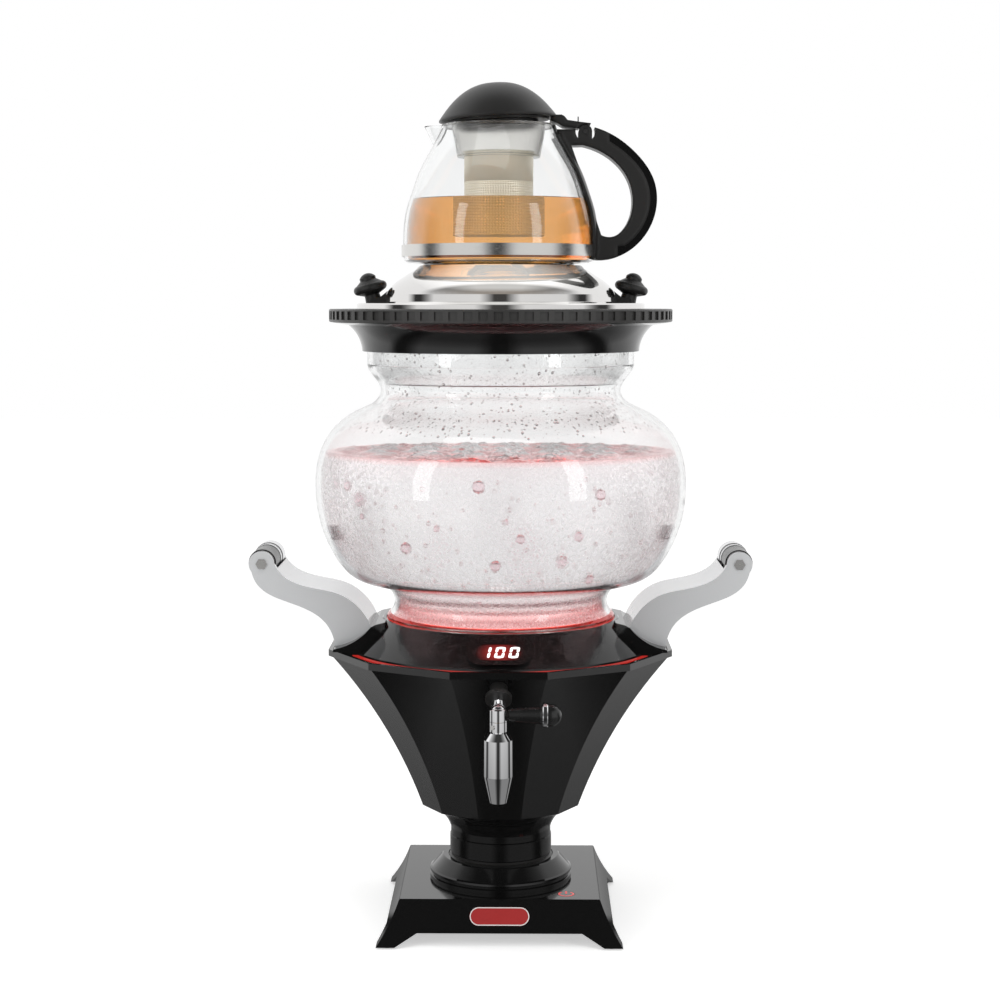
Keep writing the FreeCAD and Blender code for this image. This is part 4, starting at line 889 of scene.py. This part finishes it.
@dataclass
class Teapot:
    """The glass teapot with its tea, infuser and hinged lid."""

    centre_x: float = -1.4
    tea_z: float = 509.6
    gap: float = 0.2
    tea_reach: float = 0.064
    floor_radius: float = 58.0
    basket_radius: float = 24.0
    basket_cells: Tuple[int, int] = (84, 22)
    hole: float = 0.5
    plain_share: float = 0.36

    def dress(self) -> None:
        """Dresses the pot, fills it and hangs its infuser."""
        dress_node(CLEAR_GLASS, "teapot_glass")
        dress_node(BRUSHED_STEEL, "steel_band")
        dress_node(SOFT_BLACK, "pot_handle", "pot_lid")
        dress_node(MATTE_BLACK, "lid_plug")
        dress_node(GLOSS_BLACK, "handle_spine")
        dress_node(MIRROR_STEEL, "hinge_pin", "thumb_tab")
        dress_node(FROSTED, "infuser_holder")
        self.tea()
        self.basket()

    def tea(self) -> None:
        """Pours the tea."""
        probe = Probe("teapot_glass")
        floor = probe.floor(20.0, 490.0, self.centre_x) + self.gap
        heights = [floor + 0.6 + (self.tea_z - floor - 0.6) * i / 30 for i in range(31)]
        wall = [(probe.radius(z, self.centre_x) - self.gap, z) for z in heights]
        edge = wall[-1][0]
        level = self.tea_z - 0.5
        profile = [(0.01, floor), (self.floor_radius, floor + 0.35), *wall, (edge - 1.2, level),
                   (0.01, level)]
        item = lathe("tea", profile, 128, self.centre_x)
        dress(item, LIBRARY.special("tea", self.tea_material))
        settle(item, "teapot")

    def tea_material(self) -> Material:
        """Makes the tea, darker toward its sides: painted shade for the deeper tea seen there."""
        material = TEA.build()
        tree = Shading(material)
        across = tree.math("ABSOLUTE", tree.axis("X"))
        # Painted shade: the colour darkens with distance sideways from the middle.
        tree.drive("Base Color", tree.ramp(tree.span(across, 0.0, self.tea_reach), [
            (0.0, (0.86, 0.44, 0.14)), (0.6, (0.82, 0.37, 0.09)), (0.85, (0.66, 0.26, 0.05)),
            (1.0, (0.46, 0.17, 0.035))]))
        return material

    def basket(self) -> None:
        """Replaces the plain basket by one of perforated steel."""
        low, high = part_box("infuser_basket")
        radius = self.basket_radius
        bottom, top = low.z / MM, high.z / MM
        plain = bottom + 1.6 + (top - bottom - 2.0) * (1 - self.plain_share)
        columns, rows = self.basket_cells
        vertices = []
        for row in range(rows + 1):
            z = bottom + 1.6 + (plain - bottom - 1.6) * row / rows
            for column in range(columns):
                turn = math.tau * (column + 0.5 * (row % 2)) / columns
                x, y = self.centre_x + radius * math.cos(turn), radius * math.sin(turn)
                vertices.append((x * MM, y * MM, z * MM))
        sheet = mesh_object("basket_sheet", vertices, ring_faces(rows + 1, columns))
        wall = mesh_tool().run("basket_wall", sheet, {"Hole": self.hole, "Material": LIBRARY.of(WARM_STEEL)})
        thick = wall.modifiers.new("thickness", "SOLIDIFY")
        thick.thickness = 0.0003
        low_rim, sleeve_top = bottom + 1.9, top - 0.2
        foot = lathe("basket_foot", [
            (0.01, bottom + 0.05), (radius - 1.2, bottom + 0.05), (radius + 0.1, bottom + 0.7),
            (radius + 0.1, low_rim), (radius - 0.4, low_rim), (radius - 0.4, bottom + 0.9),
            (radius - 1.4, bottom + 0.5), (0.01, bottom + 0.5)], 96, self.centre_x)
        rim = lathe("basket_sleeve", [
            (radius - 0.3, plain), (radius, plain), (radius, top - 2.4), (radius + 0.5, top - 2.0),
            (radius + 0.5, sleeve_top), (radius - 0.3, sleeve_top), (radius - 0.3, plain)], 96, self.centre_x)
        settle(wall, "teapot")
        settle(foot, "teapot", WARM_STEEL)
        settle(rim, "teapot", WARM_STEEL)
        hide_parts("infuser_basket")


@dataclass
class Studio:
    """The camera, floor, white surround and soft lights."""

    turn: float = 0.7
    distance: float = 1.405
    aim_x: float = -0.0005
    eye_z: float = 0.4405
    pitch: float = 84.29
    lens: float = 72.0
    level: float = 0.62
    floor_reach: float = 6.0
    floor_glow: float = 0.5
    floor_mirror: float = 0.27
    boxes: Tuple[Tuple[Tuple[float, float, float], Tuple[float, float], float], ...] = (
        ((-1.25, -1.15, 0.75), (0.35, 1.3), 6.0),
        ((1.25, -1.15, 0.75), (0.35, 1.3), 6.0),
        ((-0.2, -0.6, 1.9), (1.2, 0.8), 7.0),
    )

    def build(self) -> None:
        """Sets up the camera, floor, surround and lights."""
        self.camera()
        self.floor()
        self.surround()
        for place, size, power in self.boxes:
            self.softbox(place, size, power)
        bpy.context.scene.view_settings.view_transform = "Standard"

    def camera(self) -> None:
        """Makes the camera at the photograph's viewing angle."""
        data = bpy.data.cameras.new("camera")
        data.lens = self.lens
        data.sensor_width = 36.0
        data.clip_start, data.clip_end = 0.05, 50.0
        item = stand("camera", data)
        turn = math.radians(self.turn)
        x, y = self.aim_x + self.distance * math.sin(turn), -self.distance * math.cos(turn)
        item.location = (x, y, self.eye_z)
        item.rotation_euler = (math.radians(self.pitch), 0, turn)
        bpy.context.scene.camera = item

    def floor(self) -> None:
        """Makes the plain white floor that keeps the object's shadow."""
        reach = self.floor_reach
        corners = [(-reach, -reach, 0), (reach, -reach, 0), (reach, reach, 0), (-reach, reach, 0)]
        item = mesh_object("studio_floor", corners, [(0, 1, 2, 3)], smooth=False)
        material = bpy.data.materials.new("studio_floor")
        material.use_nodes = True
        tree = Shading(material)
        tree.shader.inputs["Base Color"].default_value = (0.86, 0.86, 0.855, 1)
        tree.shader.inputs["Roughness"].default_value = 0.9
        tree.shader.inputs["Emission Color"].default_value = (1, 1, 1, 1)
        rays = tree.add("ShaderNodeLightPath")
        seen = tree.math("MAXIMUM", rays.outputs["Is Camera Ray"], rays.outputs["Is Transmission Ray"])
        tree.drive("Emission Strength", tree.math("MULTIPLY", seen, self.floor_glow))
        where = tree.add("ShaderNodeTexCoord")
        way = tree.vector("NORMALIZE", where.outputs["Object"])
        far = tree.vector("LENGTH", where.outputs["Object"])
        split = tree.add("ShaderNodeSeparateXYZ")
        tree.link(way.outputs[0], split.inputs[0])
        ring = self.ring_of_light(tree, split.outputs["X"], split.outputs["Y"], None)
        half = tree.add("ShaderNodeMapRange")
        half.inputs["To Min"].default_value = self.floor_mirror
        tree.link(tree.span(far.outputs["Value"], 0.45, 1.1), half.inputs["Value"])
        mirrored = tree.blend(half.outputs["Result"], (0.01, 0.01, 0.01), ring)
        dim = tree.add("ShaderNodeEmission")
        tree.link(mirrored, dim.inputs["Color"])
        pick = tree.add("ShaderNodeMixShader")
        tree.link(rays.outputs["Is Glossy Ray"], pick.inputs[0])
        tree.link(tree.shader.outputs[0], pick.inputs[1])
        tree.link(dim.outputs[0], pick.inputs[2])
        tree.link(pick.outputs[0], tree.tree.nodes["Material Output"].inputs["Surface"])
        dress(item, material)

    def surround(self) -> None:
        """Makes the world: white to the camera, and for gloss the ring of light, dark overhead."""
        world = bpy.data.worlds.new("studio")
        bpy.context.scene.world = world
        world.use_nodes = True
        tree = Shading(world)
        where = tree.add("ShaderNodeTexCoord")
        split = tree.add("ShaderNodeSeparateXYZ")
        tree.link(where.outputs["Generated"], split.inputs[0])
        below = tree.span(split.outputs["Z"], 0.85, 0.60)
        gloss = self.ring_of_light(tree, split.outputs["X"], split.outputs["Y"], below)
        bent = tree.blend(tree.span(split.outputs["Y"], 0.0, 0.3), GREY, WHITE)
        rays = tree.add("ShaderNodeLightPath")
        colour = tree.blend(rays.outputs["Is Glossy Ray"], (self.level,) * 3, gloss)
        colour = tree.blend(rays.outputs["Is Transmission Ray"], colour, bent)
        colour = tree.blend(rays.outputs["Is Camera Ray"], colour, WHITE)
        tree.link(colour, world.node_tree.nodes["Background"].inputs["Color"])

    def ring_of_light(self, tree: Shading, x: Socket, y: Socket, limit: Optional[Socket]) -> Socket:
        """What gloss sees round the object: white behind it and a soft panel on each side in front.

        Args:
            tree: Where the pattern is made.
            x: The direction's sideways part.
            y: Its part away from the camera's side.
            limit: A share that ends the panels higher up, if any.
        """
        across = tree.math("ABSOLUTE", x)
        panel = tree.math("MULTIPLY", tree.span(across, 0.10, 0.34), tree.span(across, 0.995, 0.93))
        if limit is not None:
            panel = tree.math("MULTIPLY", panel, limit)
        gloss = tree.blend(panel, (0.04, 0.04, 0.04), (0.85, 0.85, 0.85))
        return tree.blend(tree.span(y, 0.05, 0.25), gloss, WHITE)

    def softbox(self, place: Tuple[float, float, float], size: Tuple[float, float], power: float) -> None:
        """Hangs one soft light that faces the object, its place and size in metres, its power in watts."""
        data = bpy.data.lights.new("softbox", "AREA")
        data.shape = "RECTANGLE"
        data.size, data.size_y = size
        data.energy = power
        item = stand("softbox", data)
        item.location = place
        item.rotation_euler = (Vector((0, 0, 0.3)) - Vector(place)).to_track_quat("-Z", "Y").to_euler()
        item.visible_glossy = False


def main() -> None:
    """Builds the scene, one sub-assembly after another."""
    logging.basicConfig(level=logging.INFO, format="%(name)s %(message)s")
    Studio().build()
    Base().dress()
    Body().dress()
    Vessel().dress()
    Collar().dress()
    Teapot().dress()


if __name__ == "__main__":
    main()
